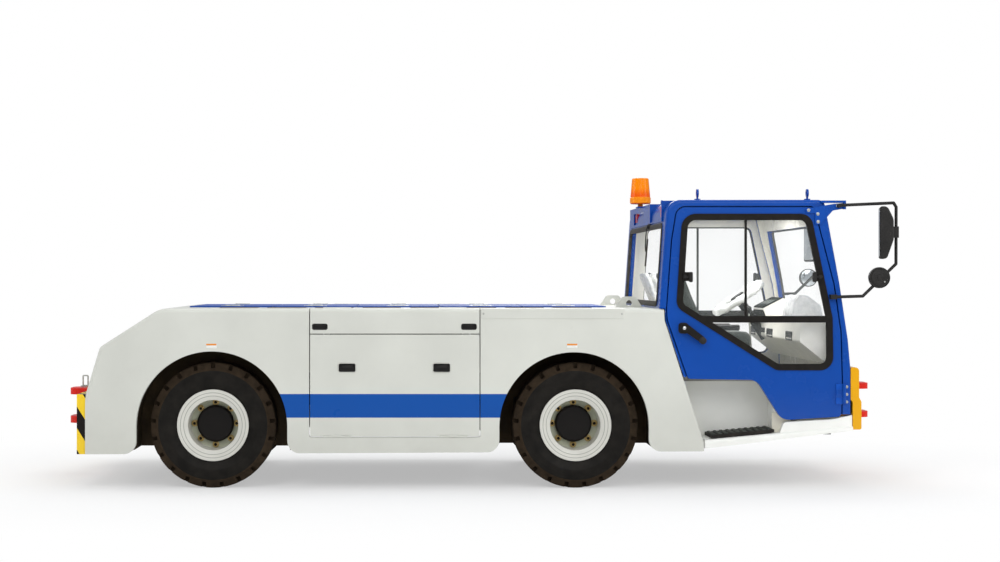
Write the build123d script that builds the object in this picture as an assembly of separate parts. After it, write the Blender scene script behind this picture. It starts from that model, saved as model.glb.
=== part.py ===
"""Aircraft tow tractor with a closed front cab, as separate named pieces.

Millimetres; +X is the cab end, +Y the left side, +Z up; the origin lies on the
ground under the middle of the overall box.
"""
from build123d import *
import os

os.makedirs("parts", exist_ok=True)

# Overall stance
half_width = 1000
deck_top = 1160
roof_top = 1858
axle_height = 405
rear_axle_x = -1681
front_axle_x = 659
tail_x = -2493
tail_bumper_x = -2548
nose_bumper_x = 2489
nose_step = 56
cab_nose_x = nose_bumper_x - nose_step
tail_jaw_reach = 210
nose_jaw_reach = 269
tail_reach_x = tail_bumper_x - tail_jaw_reach
nose_reach_x = nose_bumper_x + nose_jaw_reach
slack = 0.3
panel_gap = 6
near = 1

# Body shell
skin = 40
sheet = 30
flange = 120
flange_y = half_width - flange
skin_y = half_width - skin
shell_edge_round = 26
shell_edge_low = 712
skirt_low = 200
arch_centre_z = 400
arch_corner = 80
# x, z, corner radius
side_rows = [
    (tail_x, 225, 0),
    (tail_x, 609, 0),
    (-2402, 912, 50),
    (-2015, deck_top, 160),
    (1220, deck_top, 0),
    (1224, 1082, 0),
    (1475, 297, 0),
    (1477, 244, 0),
]
# centre x, radius in the skin
arches = {"rear": (rear_axle_x, 485), "front": (644, 480)}
tail_split_x = -1985
deck_front_x = 1180

# Side hatch and upper lid
hatch_x = (-1056, 43)
hatch_z = (334, 999)
hatch_corner = 14
lid_low_z = 993
lid_hinge = ((flange_y + panel_gap / 2), deck_top)
hatch_hinge = (half_width, hatch_z[0] + panel_gap)
barrel_r = 7
barrel_room = 1.5
barrel_long = 60
barrel_x = [-880, -133]
# middle x and z, length, height and depth of the black grips' pockets
lid_pockets = [(-987, 1043, 94, 34, 12), (-31, 1043, 94, 34, 12)]
hatch_pockets = [(-813, 780, 109, 55, 18), (-206, 780, 109, 55, 18)]
pocket_corner = 10

# Arch liners: inner radius, depth behind the skin, opening half length, opening top z
liners = {"rear": (500, 320, 190, 600), "front": (530, 520, 360, 560)}
liner_wall = 15
liner_low = 250

# Frame
rail_y = (270, 370)
rail_z = (500, 680)
nose_rail_z = (300, 430)
rail_notch = 65
rail_notch_z = 600
rail_drop_x = (1240, 1330)
nose_rail_x = cab_nose_x
cross_x = [-2400, -1300, -300, 250, 1150]
cross_size = (80, 140)
cross_low = 520
well_in = (300, 280)
well_y = (half_width - well_in[0], half_width - well_in[1])
lip_deep = (85, 50)
lip_y = (half_width - lip_deep[0], half_width - lip_deep[1])
# x, outer y, z
outriggers = [
    ((-2330, -2250), skin_y, (560, 640)),
    ((-1130, -1080), skin_y, (560, 640)),
    ((50, 90), skin_y, (560, 640)),
    ((1232, 1290), skin_y, (560, 640)),
    ((1700, 1760), well_y[0], (335, 400)),
    ((2200, 2260), lip_y[0], (390, 425)),
]
cab_feet = [(1250, 1300, 680, 690), (2000, 2080, 430, 440), (2300, 2380, 430, 440)]
power_x = (-950, -60)
power_z = (680, 1080)

# Axles and steering
wheel_in = 195
wheel_y = half_width - wheel_in
disc_off = (-90, -70)
kingpin_in = 160
kingpin_y = wheel_y - kingpin_in
axle_beam = (60, 60)
beam_in = 60
beam_end_y = kingpin_y - beam_in
beam_web = 10
yoke_half = 50
yoke_out = 45
yoke_end_y = kingpin_y + yoke_out
yoke_top = (475, 510)
yoke_low = (300, 335)
pad_top = 500
kingpin_r = 42
kingpin_core_r = 22
kingpin_z = (341, 469)
kingpin_hole_r = 23
spindle_r = 60
spindle_end_y = wheel_y + disc_off[0] - slack
arm_back = 180
arm_half = 20
arm_z = (372, 396)
arm_pin_r = 13.7
rod_z = (400, 424)
rod_eye_r = 22
rod_hole_r = 14
rod_half = 13
rear_tube_r = 75
diff_r = 180
diff_half = 170
drum_r = 150
drum_long = 114
drum_y = (spindle_end_y - drum_long, spindle_end_y)
rear_pad_half = 70

# Wheels
tyre_r = 405
tyre_half = 130
rim_r = 192
rim_wall = 12
rim_flange_r = 231.5
rim_half = 125
rim_flange = 12
# distance in from the rim's outer edge, radius of the stepped outer face
rim_face_rows = [(0, 224, 0), (8, 190, 0), (20, 162, 6)]
hub_cap_r = 120
hub_cap_high = 42
nut_circle_r = 137.5
nut_r = 15
nut_high = 24
nut_count = 8
# offset from the wheel's middle, radius, corner radius
tyre_rows = [
    (-113, rim_r + slack, 0),
    (-113, 234, 0),
    (-tyre_half, 290, 30),
    (-tyre_half, 352, 26),
    (-104, tyre_r, 14),
    (104, tyre_r, 14),
    (tyre_half, 352, 26),
    (tyre_half, 290, 30),
    (113, 234, 0),
    (113, rim_r + slack, 0),
]

# Slots between the tread's shoulder lugs
lug_count = 21
lug_gap = 26
lug_long = 50
lug_deep = 37

# Bumpers and tow jaws
bumper_in = 10
bumper_half = half_width - bumper_in
tail_bumper_z = (225, 609)
# x, z, corner radius
nose_bumper_rows = [
    (cab_nose_x, 383, 0),
    (cab_nose_x, 560, 0),
    (2420, 575, 0),
    (2420, 782, 14),
    (2474, 782, 24),
    (2474, 590, 0),
    (nose_bumper_x, 560, 12),
    (nose_bumper_x, 383, 12),
]
jaw_half = 110
jaw_back = 30
# face x, reach x, upper plate z, lower plate z, pin x
jaws = {
    "tail": (tail_bumper_x, tail_reach_x, (553, 597), (357, 404), -2664),
    "nose": (nose_bumper_x, nose_reach_x, (592, 632), (397, 437), 2670),
}
jaw_corner = 60
pin_r = 22
pin_hole_r = 23
pin_collar_r = 34
pin_collar = 12
pin_tail = 20
loop_size = (43, 78)
loop_wire = 9

# Cab
cab_wall = 60
cab_y = half_width - cab_wall
door_gap = 4
door_depth = 45
door_y = half_width - door_depth
lip_in = 20
panel_wall = 40
roof_split_x = (1340, 2180)
hood_deep = 100
hood_round = 20
# x, z, corner radius
cab_rows = [
    (1192, deck_top, 0),
    (1240, roof_top, 95),
    (2250, roof_top, 50),
    (2348, 1327, 0),
    (2403, 960, 0),
    (2418, 792, 0),
    (2420, 481, 0),
    (cab_nose_x, 406, 0),
    (cab_nose_x, 377, 0),
    (1477, 260, 0),
    (1483, 297, 0),
    (1232, 1082, 0),
    (1228, deck_top, 0),
]
# x, z, corner radius
door_rows = [
    (1303, 1814, 65),
    (1268, 1597, 0),
    (1236, 1156, 0),
    (1240, 1085, 40),
    (1373, 705, 25),
    (1812, 698, 80),
    (1975, 440, 85),
    (2361, 463, 30),
    (2364, 702, 0),
    (2356, 1008, 0),
    (2311, 1315, 0),
    (2219, 1671, 0),
    (2187, 1814, 40),
]
# x, z, corner radius
window_rows = [
    (1367, 1735, 62),
    (2134, 1735, 50),
    (2268, 1094, 0),
    (2272, 797, 52),
    (1949, 797, 40),
    (1332, 1186, 45),
]
gasket_wide = 33
gasket_lap = 8
gasket_proud = 7
glass = 6
glass_deep = 24
door_glass_y = half_width - glass_deep
mid_bar = (1440, 2285, 1070, 1113)
upright_bar = (1738, 1751, 1090, 1750)
# x, z, corner radius of the pull, with its fixed end ahead of free_x
handle_rows = [
    (1318, 1008, 14),
    (1318, 1062, 14),
    (1364, 1062, 20),
    (1480, 972, 16),
    (1456, 938, 16),
    (1358, 1006, 0),
]
handle_proud = 48
handle_free_x = 1366
handle_room = 22
latch_knobs = [(1342, 1382, 1336, 1394), (2170, 2214, 1334, 1390)]
knob_proud = 26

# Door hinges: a vertical pin line ahead of each door
hinge_x = 2373
hinge_out = 16
hinge_y = half_width + hinge_out
hinge_r = 11
hinge_leaf = 8
strap_out = (5, 12)
strap_y = (half_width + strap_out[0], half_width + strap_out[1])
strap_x = 2354
# low, high of the post's two barrels and the door's barrel between them
low_hinge = [(552, 590), (640, 677)]
low_hinge_door = (590.3, 639.7)
low_leaf_x = (2323, 2398)
top_hinge = (1838, 1852)
top_hinge_x = 2225
top_hinge_door = (1796, 1837.7)
# x, z, corner radius of the plate from the door's top corner to the pin
neck_rows = [
    (2187, 1700, 8),
    (2187, 1772, 0),
    (2128, 1774, 8),
    (2128, 1800, 8),
    (2300, 1830, 20),
    (hinge_x, 1836, 0),
    (hinge_x, 1800, 0),
    (2300, 1788, 20),
    (2222, 1700, 8),
]
neck_out = (6, 14)
neck_y = (half_width + neck_out[0], half_width + neck_out[1])

# Mirror arm: x, z of the tube's path
mirror_tube_r = 10
mirror_out = 40
mirror_y = half_width + mirror_out
mirror_boss = (2335, 1818, 13)
mirror_path = [(2328, 1820), (2682, 1836), (2698, 1810), (2697, 1446), (2485, 1240), (2320, 1235)]
mirror_foot = (2280, 2320, 1220, 1250)
# x, z, corner radius of the housing, which faces the rear and a little inwards
mirror_head_rows = [
    (2587, 1478, 14),
    (2587, 1811, 16),
    (2636, 1811, 34),
    (2674, 1730, 70),
    (2674, 1600, 70),
    (2632, 1478, 24),
]
mirror_head_wide = (80, 110)
mirror_head_y = (mirror_y - mirror_head_wide[0], mirror_y + mirror_head_wide[1])
mirror_head_round = 10
mirror_head_turn = 12
mirror_clamp = (2670, 2712, 1613, 1685)
clamp_half = 16
mirror_round = (2586, 1358, 67)
round_deep = 30

# Floor and step wells: x, z, corner radius
floor_rows = [
    (1232, 690, 0),
    (1232, 710, 0),
    (1972, 710, 0),
    (1972, 460, 0),
    (2375, 460, 0),
    (2375, 440, 0),
    (1952, 440, 0),
    (1952, 690, 0),
]
well_top = 690
well_wall = 15
# x, z: the sloping lines of the well floor and of the sill
well_line = [(1361, 312), (1952, 366)]
sill_line = [(1484, 317), (cab_nose_x, 406)]
sill_low = [(1484, 262), (cab_nose_x, 377)]
sill_deep = 100
sill_y = (half_width - sill_deep, half_width)
sill_round = 24
kerb_rows = [
    (1960, 345, 0),
    (1992, 430, 30),
    (2300, 448, 0),
    (2430, 476, 0),
    (2430, 385, 0),
]
kerb_in = 15
kerb_y = (lip_y[0], half_width - kerb_in)
tread_x = (1525, 1930)
tread_in = 18
tread_gap = 2
tread_y = (well_y[1] + tread_gap, half_width - tread_in)
tread_thick = 20
post_low = (2300, 481, 720)

# Rear wall and front wall
rear_window_in = 150
rear_window = (half_width - rear_window_in, 1195, 1690)
front_window_in = 140
front_window = (half_width - front_window_in, 1010, 1700)
rear_foot_in = 132
rear_foot_z = 690
front_low_z = 481

# Furniture
seat_y = 450
seat_half = 240
seat_x = (1420, 1880)
seat_z = (880, 1000)
seat_base_x = (1500, 1820)
seat_base_half = 180
seat_floor = 710
cushion_round = 30
back_rows = [
    (1420, 985, 0),
    (1320, 1180, 40),
    (1270, 1430, 40),
    (1352, 1430, 40),
    (1420, 1282, 60),
    (1540, 1108, 40),
    (1560, 985, 0),
]
dash_rows = [
    (2110, 945, 20),
    (2120, 1085, 20),
    (2300, 1100, 0),
    (2400, 1100, 0),
    (2420, 800, 0),
    (2290, 800, 20),
]
dash_in = 100
dash_half = half_width - dash_in
pod_rows = [
    (2125, 1060, 0),
    (2095, 1140, 10),
    (2240, 1215, 20),
    (2300, 1190, 20),
    (2300, 1060, 0),
]
pod_y = (260, 640)
wheel_centre = (1953, seat_y, 1212)
spoke_count = 3
wheel_tilt = 34
steer_wheel_r = 200
steer_tube_r = 14
steer_hub_r = 35
column_r = 32
column_long = 330

# Roof gear
rack_x = (1222, 1340)
rack_sheet = 8
rack_z = (1722, 1858)
rack_in = 150
rack_half = half_width - rack_in
rack_mid_y = -284
rack_y = (rack_mid_y, rack_half)
rack_ends = [-rack_half - rack_sheet, rack_mid_y, rack_half - rack_sheet]
rack_ledge_y = (-rack_half - rack_sheet, rack_half)
rack_window_y = (60, 620)
rack_window_z = (1738, 1818)
rack_lamp_x = (1231, 1275)
rack_lamp_gap = 5
rack_lamp_wide = 100
rack_lamp_near = -rack_half + rack_lamp_gap
rack_lamp_y = [(rack_lamp_near, rack_lamp_near + rack_lamp_wide), (500, 600)]
rack_lamp_z = (1756, 1818)
beacon_x = 1217
beacon_y = 200
beacon_stem_r = 18
beacon_plate = (1190, 1260)
beacon_plate_half = 45
# radius, height, corner radius
beacon_rows = [
    (0, 1877, 0),
    (66, 1877, 6),
    (73, 1886, 0),
    (73, 1922, 0),
    (70, 1924, 0),
    (58, 2060, 10),
    (0, 2060, 0),
]
# x, half spread of the roof eyes
eye_in = 150
eyes = [(1457, half_width - eye_in), (2170, half_width - eye_in)]
eye_r = 26
eye_hole_r = 14
eye_half = 6
eye_up = 49
eye_foot = (20, 12)

# Lamps
head_lamp_x = (2380, 2440)
lamp_in = 160
lamp_end_y = half_width - lamp_in
head_lamp_wide = 220
head_lamp_y = (lamp_end_y - head_lamp_wide, lamp_end_y)
head_lamp_z = (830, 930)
head_lamp_proud = 12
tail_lamp_wide = 200
tail_lamp_y = (lamp_end_y - tail_lamp_wide, lamp_end_y)
tail_lamp_z = (660, 760)

# Deck covers and lifting lugs
cover_x = (-1885, 905)
cover_half = 520
cover_count = 5
cover_thick = 8
cover_corner = 30
lug_high = 72
# x, z, corner radius
deck_lug_rows = [
    (962, deck_top, 0),
    (1010, deck_top + lug_high, 30),
    (1098, deck_top + lug_high, 30),
    (1142, deck_top, 0),
]
deck_lug_y = (490, 510)
deck_lug_hole = (1054, 1188, 20)


def block(x, y, z):
    """A box between pairs of places."""
    centre = [(low + high) / 2 for low, high in (x, y, z)]
    return Pos(*centre) * Box(x[1] - x[0], y[1] - y[0], z[1] - z[0])


def outline(rows):
    """A flat face from rows of two places and a corner radius."""
    face = make_face(Polyline([row[:2] for row in rows], close=True))
    for across, up, radius in rows:
        if radius:
            corner = face.vertices().sort_by_distance((across, up, 0))[0]
            face = fillet(corner, radius)
    return face


def plate(face, y):
    """A side-view face made solid between two Y places."""
    return extrude(Plane.XZ.offset(-y[0]) * face, amount=y[0] - y[1])


def turned(face):
    """A face of Y and radius turned about the Y axis."""
    return revolve(Plane.YZ * face, axis=Axis.Y)


def rod_y(x, z, radius, y):
    """A round bar along Y."""
    return Pos(x, (y[0] + y[1]) / 2, z) * Rot(90, 0, 0) * Cylinder(radius, y[1] - y[0])


def rod_z_at(x, y, radius, z):
    """A round bar along Z."""
    return Pos(x, y, (z[0] + z[1]) / 2) * Cylinder(radius, z[1] - z[0])


def flipped(shape):
    """The same piece on the other side."""
    return mirror(shape, about=Plane.XZ)


def save(name, shape):
    """Write one node."""
    export_step(shape, f"parts/{name}.step")


def save_pair(name, shape):
    """Write a left piece and its mirror image."""
    save(f"{name}_left", shape)
    save(f"{name}_right", flipped(shape))


def arch_face(x, radius):
    """A wheel arch: round above its centre and straight below it."""
    low = arch_centre_z - skirt_low
    straight = Pos(x, arch_centre_z - low / 2) * Rectangle(2 * radius, low)
    return Pos(x, arch_centre_z) * Circle(radius) + straight


def shell(y, wall_y):
    """The body's wrapped sheet between two Y places, with a thick outer wall."""
    whole = outline(side_rows)
    inner = offset(whole, amount=-sheet)
    reach = side_rows[-1][0] - tail_x - 2 * sheet
    inner += Pos(tail_x + sheet + reach / 2, arch_centre_z - skirt_low / 2) * Rectangle(
        reach, arch_centre_z - skirt_low / 2
    )
    return plate(whole, y) - plate(inner, (y[0], wall_y))


def hinged(fixed, moving, line):
    """Two pieces joined by barrels end to end on a line along X."""
    y, z = line
    for x in barrel_x:
        for shift, keep in ((0, True), (barrel_long, False), (-barrel_long, False)):
            place = Pos(x + shift, y, z) * Rot(0, 90, 0)
            barrel = place * Cylinder(barrel_r, barrel_long - 2 * slack)
            room = place * Cylinder(barrel_r + barrel_room, barrel_long)
            if keep:
                moving += barrel
                fixed -= room
            else:
                moving -= room
                fixed += barrel
    return fixed, moving


def pocketed(panel, pockets):
    """A side panel with its grips' pockets cut in."""
    for x, z, long, high, deep in pockets:
        mouth = Pos(x, z) * RectangleRounded(long, high, pocket_corner)
        panel -= plate(mouth, (half_width - deep, half_width))
    return panel


def body_side():
    """Side skin with its arches, hatch and lid cut from one wrapped shell."""
    side = shell((flange_y, half_width), skin_y)
    side -= block((deck_front_x, -tail_x), (flange_y, skin_y), (0, deck_top - sheet))
    for x, radius in arches.values():
        side -= plate(arch_face(x, radius), (flange_y, half_width))
    corners = side.edges().filter_by(Axis.Y).filter_by(
        lambda edge: edge.center().Z < hatch_z[0]
        and any(abs(abs(edge.center().X - x) - r) < near for x, r in arches.values())
    )
    side = fillet(corners, arch_corner)
    rim = side.edges().filter_by(
        lambda edge: abs(edge.center().Y - half_width) < near
        and abs(edge.bounding_box().max.Y - edge.bounding_box().min.Y) < near
        and (edge.center().Z > shell_edge_low and edge.center().X < tail_split_x
             or edge.center().Z > deck_top - near)
    )
    side = fillet(rim, shell_edge_round)
    hatch_box = outline([
        (hatch_x[0], hatch_z[0], hatch_corner),
        (hatch_x[1], hatch_z[0], hatch_corner),
        (hatch_x[1], hatch_z[1], 0),
        (hatch_x[0], hatch_z[1], 0),
    ])
    hatch = side & plate(offset(hatch_box, amount=-panel_gap), (flange_y, half_width))
    lid_x = (hatch_x[0] + panel_gap, hatch_x[1] - panel_gap)
    lid = side & block(
        lid_x, (flange_y + panel_gap, half_width), (lid_low_z + panel_gap, deck_top)
    )
    side -= plate(hatch_box, (flange_y, half_width))
    side -= block(hatch_x, (flange_y, half_width), (hatch_z[1], deck_top))
    lid = pocketed(lid, lid_pockets)
    side, hatch = hinged(side, pocketed(hatch, hatch_pockets), hatch_hinge)
    save_pair("body_side", side)
    save_pair("hatch", hatch)
    return lid


def body_centre(lid):
    """Tail panel and deck between the two side skins, with the lids on the deck's edges."""
    middle = shell((-flange_y, flange_y), flange_y)
    high = (deck_top - 2 * sheet, deck_top)
    full = (-flange_y, flange_y)
    save("tail_panel", middle & block((tail_x, tail_split_x), full, (0, deck_top)))
    deck = middle & block((tail_split_x, deck_front_x), full, high)
    deck, lid_part = hinged(deck, lid, lid_hinge)
    deck = flipped(deck)
    deck, lid_part = hinged(deck, lid, lid_hinge)
    save("deck_plate", deck)
    save_pair("lid", lid_part)


def liner(name):
    """One arch liner: a hoop with legs and a cut back wall."""
    x = arches[name][0]
    radius, deep, open_half, open_top = liners[name]
    back_y = skin_y - deep
    outer = arch_face(x, radius + liner_wall)
    inner = arch_face(x, radius)
    hoop = plate(outer, (back_y, skin_y)) - plate(inner, (back_y + liner_wall, skin_y))
    hoop -= block((x - open_half, x + open_half), (0, skin_y), (0, open_top))
    hoop -= block((x - 2 * radius, x + 2 * radius), (0, skin_y), (-radius, liner_low))
    return hoop


def frame_rail():
    """One rail, dropping ahead of the front axle."""
    start, end = rail_drop_x
    rows = [
        (tail_x + sheet, rail_z[0], 0),
        (tail_x + sheet, rail_notch_z, 0),
        (tail_x + rail_notch, rail_z[1], 0),
        (end, rail_z[1], 0),
        (end + rail_z[1] - nose_rail_z[1], nose_rail_z[1], 0),
        (nose_rail_x, nose_rail_z[1], 0),
        (nose_rail_x, nose_rail_z[0], 0),
        (start + rail_z[0] - nose_rail_z[0], nose_rail_z[0], 0),
        (start, rail_z[0], 0),
    ]
    return plate(outline(rows), rail_y)


def chassis_frame():
    """Rails, cross members and outriggers in one welded frame."""
    rail = frame_rail()
    frame = rail + flipped(rail)
    for x in cross_x:
        half = cross_size[0] / 2
        frame += block(
            (x - half, x + half), (-rail_y[0], rail_y[0]), (cross_low, cross_low + cross_size[1])
        )
    for place, outer_y, level in outriggers:
        arm = block(place, (rail_y[1], outer_y), level)
        frame += arm + flipped(arm)
    for start, end, low, high in cab_feet:
        foot = block((start, end), rail_y, (low, high))
        frame += foot + flipped(foot)
    save("chassis_frame", frame)
    save("power_unit", block(power_x, (-rail_y[1], rail_y[1]), power_z))


def front_axle():
    """Beam with a yoke at each end."""
    beam_x = (front_axle_x - axle_beam[0], front_axle_x + axle_beam[0])
    beam_z = (axle_height - axle_beam[1], axle_height + axle_beam[1])
    beam = block(beam_x, (-beam_end_y, beam_end_y), beam_z)
    yoke_x = (front_axle_x - yoke_half, front_axle_x + yoke_half)
    end = block(yoke_x, (beam_end_y - beam_web, beam_end_y), (yoke_low[0], yoke_top[1]))
    for level in (yoke_low, yoke_top):
        end += block(yoke_x, (beam_end_y - beam_web, yoke_end_y), level)
        end -= rod_z_at(front_axle_x, kingpin_y, kingpin_hole_r, level)
    pad = block(beam_x, rail_y, (beam_z[1], pad_top))
    save("front_axle", beam + end + flipped(end) + pad + flipped(pad))


def knuckle(side):
    """Kingpin body with its spindle and steering arm."""
    y = side * kingpin_y
    body = rod_z_at(front_axle_x, y, kingpin_r, kingpin_z)
    body += rod_z_at(front_axle_x, y, kingpin_core_r, (yoke_low[0], yoke_top[1]))
    reach = sorted((y, side * spindle_end_y))
    body += rod_y(front_axle_x, axle_height, spindle_r, reach)
    eye_x = front_axle_x - arm_back
    body += block((eye_x, front_axle_x), (y - arm_half, y + arm_half), arm_z)
    body += rod_z_at(eye_x, y, arm_half, arm_z)
    body += rod_z_at(eye_x, y, arm_pin_r, (arm_z[0], rod_z[1]))
    return body


def steering_gear():
    """Knuckles and the tie rod behind them."""
    save("knuckle_left", knuckle(1))
    save("knuckle_right", knuckle(-1))
    eye_x = front_axle_x - arm_back
    reach = (-kingpin_y, kingpin_y)
    rod = block((eye_x - rod_half, eye_x + rod_half), reach, rod_z)
    for y in reach:
        rod += rod_z_at(eye_x, y, rod_eye_r, rod_z)
    for y in reach:
        rod -= rod_z_at(eye_x, y, rod_hole_r, rod_z)
    save("tie_rod", rod)


def rear_axle():
    """Axle tube with its differential and end drums."""
    axle = rod_y(rear_axle_x, axle_height, rear_tube_r, (-drum_y[1], drum_y[1]))
    axle += rod_y(rear_axle_x, axle_height, diff_r, (-diff_half, diff_half))
    drum = rod_y(rear_axle_x, axle_height, drum_r, drum_y)
    pad_x = (rear_axle_x - rear_pad_half, rear_axle_x + rear_pad_half)
    pad = block(pad_x, rail_y, (axle_height, pad_top))
    save("rear_axle", axle + drum + flipped(drum) + pad + flipped(pad))


def tyre():
    """A tyre about the origin, with slots between its shoulder lugs."""
    body = turned(outline(tyre_rows))
    half = lug_gap / 2
    slot = block((-half, half), (tyre_half - lug_long, tyre_half), (tyre_r - lug_deep, tyre_r))
    pitch = 360 / lug_count
    slots = [Rot(0, count * pitch, 0) * slot for count in range(lug_count)]
    slots += [Rot(0, pitch / 2, 0) * flipped(cut) for cut in slots]
    return body - slots


def rim():
    """A deep rim with its disc, cap and nuts, outer side at +Y."""
    bore = rim_r - rim_wall
    rows = [
        (-rim_half, bore, 0),
        (-rim_half, rim_flange_r, 4),
        (-rim_half + rim_flange, rim_flange_r, 4),
        (-rim_half + rim_flange, rim_r, 0),
        (rim_half - rim_flange, rim_r, 0),
        (rim_half - rim_flange, rim_flange_r, 4),
        (rim_half, rim_flange_r, 4),
    ]
    rows += [(rim_half - deep, radius, corner) for deep, radius, corner in rim_face_rows]
    rows += [(disc_off[1], rim_face_rows[-1][1], 0), (disc_off[1], bore, 0)]
    wheel = turned(outline(rows))
    wheel += rod_y(0, 0, bore + rim_wall / 2, disc_off)
    face = disc_off[1]
    cap = rod_y(0, 0, hub_cap_r, (face, face + hub_cap_high))
    wheel += fillet(cap.edges().sort_by(Axis.Y)[-1], nut_r)
    nut = Pos(0, 0, nut_circle_r) * rod_y(0, 0, nut_r, (face, face + nut_high))
    for count in range(nut_count):
        wheel += Rot(0, count * 360 / nut_count, 0) * nut
    return wheel


def wheels():
    """Four tyres and rims."""
    rubber, metal = tyre(), rim()
    for name, x in (("front", front_axle_x), ("rear", rear_axle_x)):
        place = Pos(x, wheel_y, axle_height)
        save_pair(f"tyre_{name}", place * rubber)
        save_pair(f"rim_{name}", place * metal)


def tow_gear():
    """Bumpers, tow jaws and their pins."""
    full = (-bumper_half, bumper_half)
    save("tail_bumper", block((tail_bumper_x, tail_x), full, tail_bumper_z))
    save("nose_bumper", plate(outline(nose_bumper_rows), full))
    plates, pins = Part(), Part()
    for name, (face_x, reach_x, upper, lower, pin_x) in jaws.items():
        out = 1 if reach_x > face_x else -1
        wide = (-jaw_half, jaw_half)
        back = sorted((face_x, face_x + out * jaw_back))
        jaw = block(back, wide, (lower[0], upper[1]))
        for level in (upper, lower):
            lip = block(sorted((face_x, reach_x)), wide, level)
            ends = lip.edges().filter_by(Axis.Z).sort_by(Axis.X)
            jaw += fillet(ends[-2:] if out > 0 else ends[:2], jaw_corner)
        jaw -= rod_z_at(pin_x, 0, pin_hole_r, (lower[0], upper[1]))
        plates += jaw
        top = upper[1]
        pin = rod_z_at(pin_x, 0, pin_r, (lower[0] - pin_tail, top + pin_collar))
        pin += rod_z_at(pin_x, 0, pin_collar_r, (top, top + pin_collar))
        wide_loop, tall_loop = loop_size
        ring = RectangleRounded(wide_loop, tall_loop, loop_wire)
        ring -= RectangleRounded(wide_loop - 2 * loop_wire, tall_loop - 2 * loop_wire, loop_wire / 2)
        place = Pos(pin_x, top + pin_collar + tall_loop / 2 - loop_wire / 2)
        pin += plate(place * ring, (-loop_wire / 2, loop_wire / 2))
        pins += pin
    save("tow_jaws", plates)
    save("tow_pins", pins)


def deck_gear():
    """Covers and lifting lugs on the deck."""
    pitch = (cover_x[1] - cover_x[0]) / cover_count
    covers = Part()
    for number in range(cover_count):
        low = cover_x[0] + number * pitch
        long = (low + panel_gap / 2, low + pitch - panel_gap / 2)
        cover = block(long, (-cover_half, cover_half), (deck_top, deck_top + cover_thick))
        covers += fillet(cover.edges().filter_by(Axis.Z), cover_corner)
    save("deck_covers", covers)
    x, z, radius = deck_lug_hole
    lug = plate(outline(deck_lug_rows), deck_lug_y) - rod_y(x, z, radius, deck_lug_y)
    save("deck_lugs", lug + flipped(lug))


def cab_side():
    """Side frame round the door and the step well."""
    door = outline(door_rows)
    opening = offset(door, amount=door_gap)
    frame = plate(outline(cab_rows) - opening, (lip_y[1], half_width))
    frame += plate(outline(cab_rows) - offset(door, amount=-lip_in), lip_y)
    split_x, post_z, sill_z = post_low
    deep = (lip_y[0], half_width)
    frame -= block((deck_front_x, split_x), deep, (0, sill_z))
    frame -= block((split_x, nose_reach_x), deep, (0, post_z))
    hood = frame.edges().filter_by(
        lambda edge: abs(edge.center().Y - half_width) < near
        and edge.center().Z > roof_top - hood_deep
        and edge.center().Z > door_rows[0][1] + 2 * door_gap
    )
    frame = fillet(hood, hood_round)
    for level in low_hinge + [top_hinge]:
        frame += rod_z_at(hinge_x, hinge_y, hinge_r, level)
    leaf_y = (half_width, half_width + hinge_leaf)
    low, high = low_hinge[0][0], low_hinge[1][1]
    frame += block((hinge_x + hinge_r, low_leaf_x[1]), leaf_y, (low, high))
    for level in low_hinge:
        frame += block((hinge_x, low_leaf_x[1]), leaf_y, level)
    frame += block((top_hinge_x, hinge_x), (cab_y, hinge_y + hinge_r), top_hinge)
    save_pair("cab_side", frame)


def cab_centre():
    """Roof, rear wall and front wall between the side frames."""
    span = (-lip_y[0], lip_y[0])
    whole = outline(cab_rows)
    inner = offset(whole, amount=-panel_wall)
    ring = plate(whole, span) - plate(inner, span)
    back_x = (deck_front_x, roof_split_x[0])
    front_x = (roof_split_x[1], nose_reach_x)
    save("cab_roof", ring & block(roof_split_x, span, (roof_top - 2 * panel_wall, roof_top)))
    rear = ring & block(back_x, span, (deck_top, roof_top))
    half, low, high = rear_window
    rear -= block(back_x, (-half, half), (low, high))
    foot = (cab_rows[0][0], cab_rows[0][0] + panel_wall)
    foot_half = half_width - rear_foot_in
    rear += block(foot, (-foot_half, foot_half), (rear_foot_z, deck_top))
    save("cab_rear", rear)
    front = ring & block(front_x, span, (front_low_z, roof_top))
    half, low, high = front_window
    front -= block(front_x, (-half, half), (low, high))
    save("cab_front", front)
    pane = offset(whole, amount=-panel_wall / 2) - offset(whole, amount=-panel_wall / 2 - glass)
    screen = plate(pane, (-front_window[0] + slack, front_window[0] - slack))
    screen = screen & block(
        front_x, span, (front_window[1] + slack, front_window[2] - slack)
    )
    back = plate(pane, (-rear_window[0] + slack, rear_window[0] - slack))
    back = back & block(back_x, span, (rear_window[1] + slack, rear_window[2] - slack))
    save("cab_glass", screen + back)
    save("cab_floor", plate(outline(floor_rows), (-lip_y[0] + slack, lip_y[0] - slack)))


def slope_at(line, x):
    """Height of a sloping line at a place along X."""
    (x0, z0), (x1, z1) = line
    return z0 + (z1 - z0) * (x - x0) / (x1 - x0)


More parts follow.
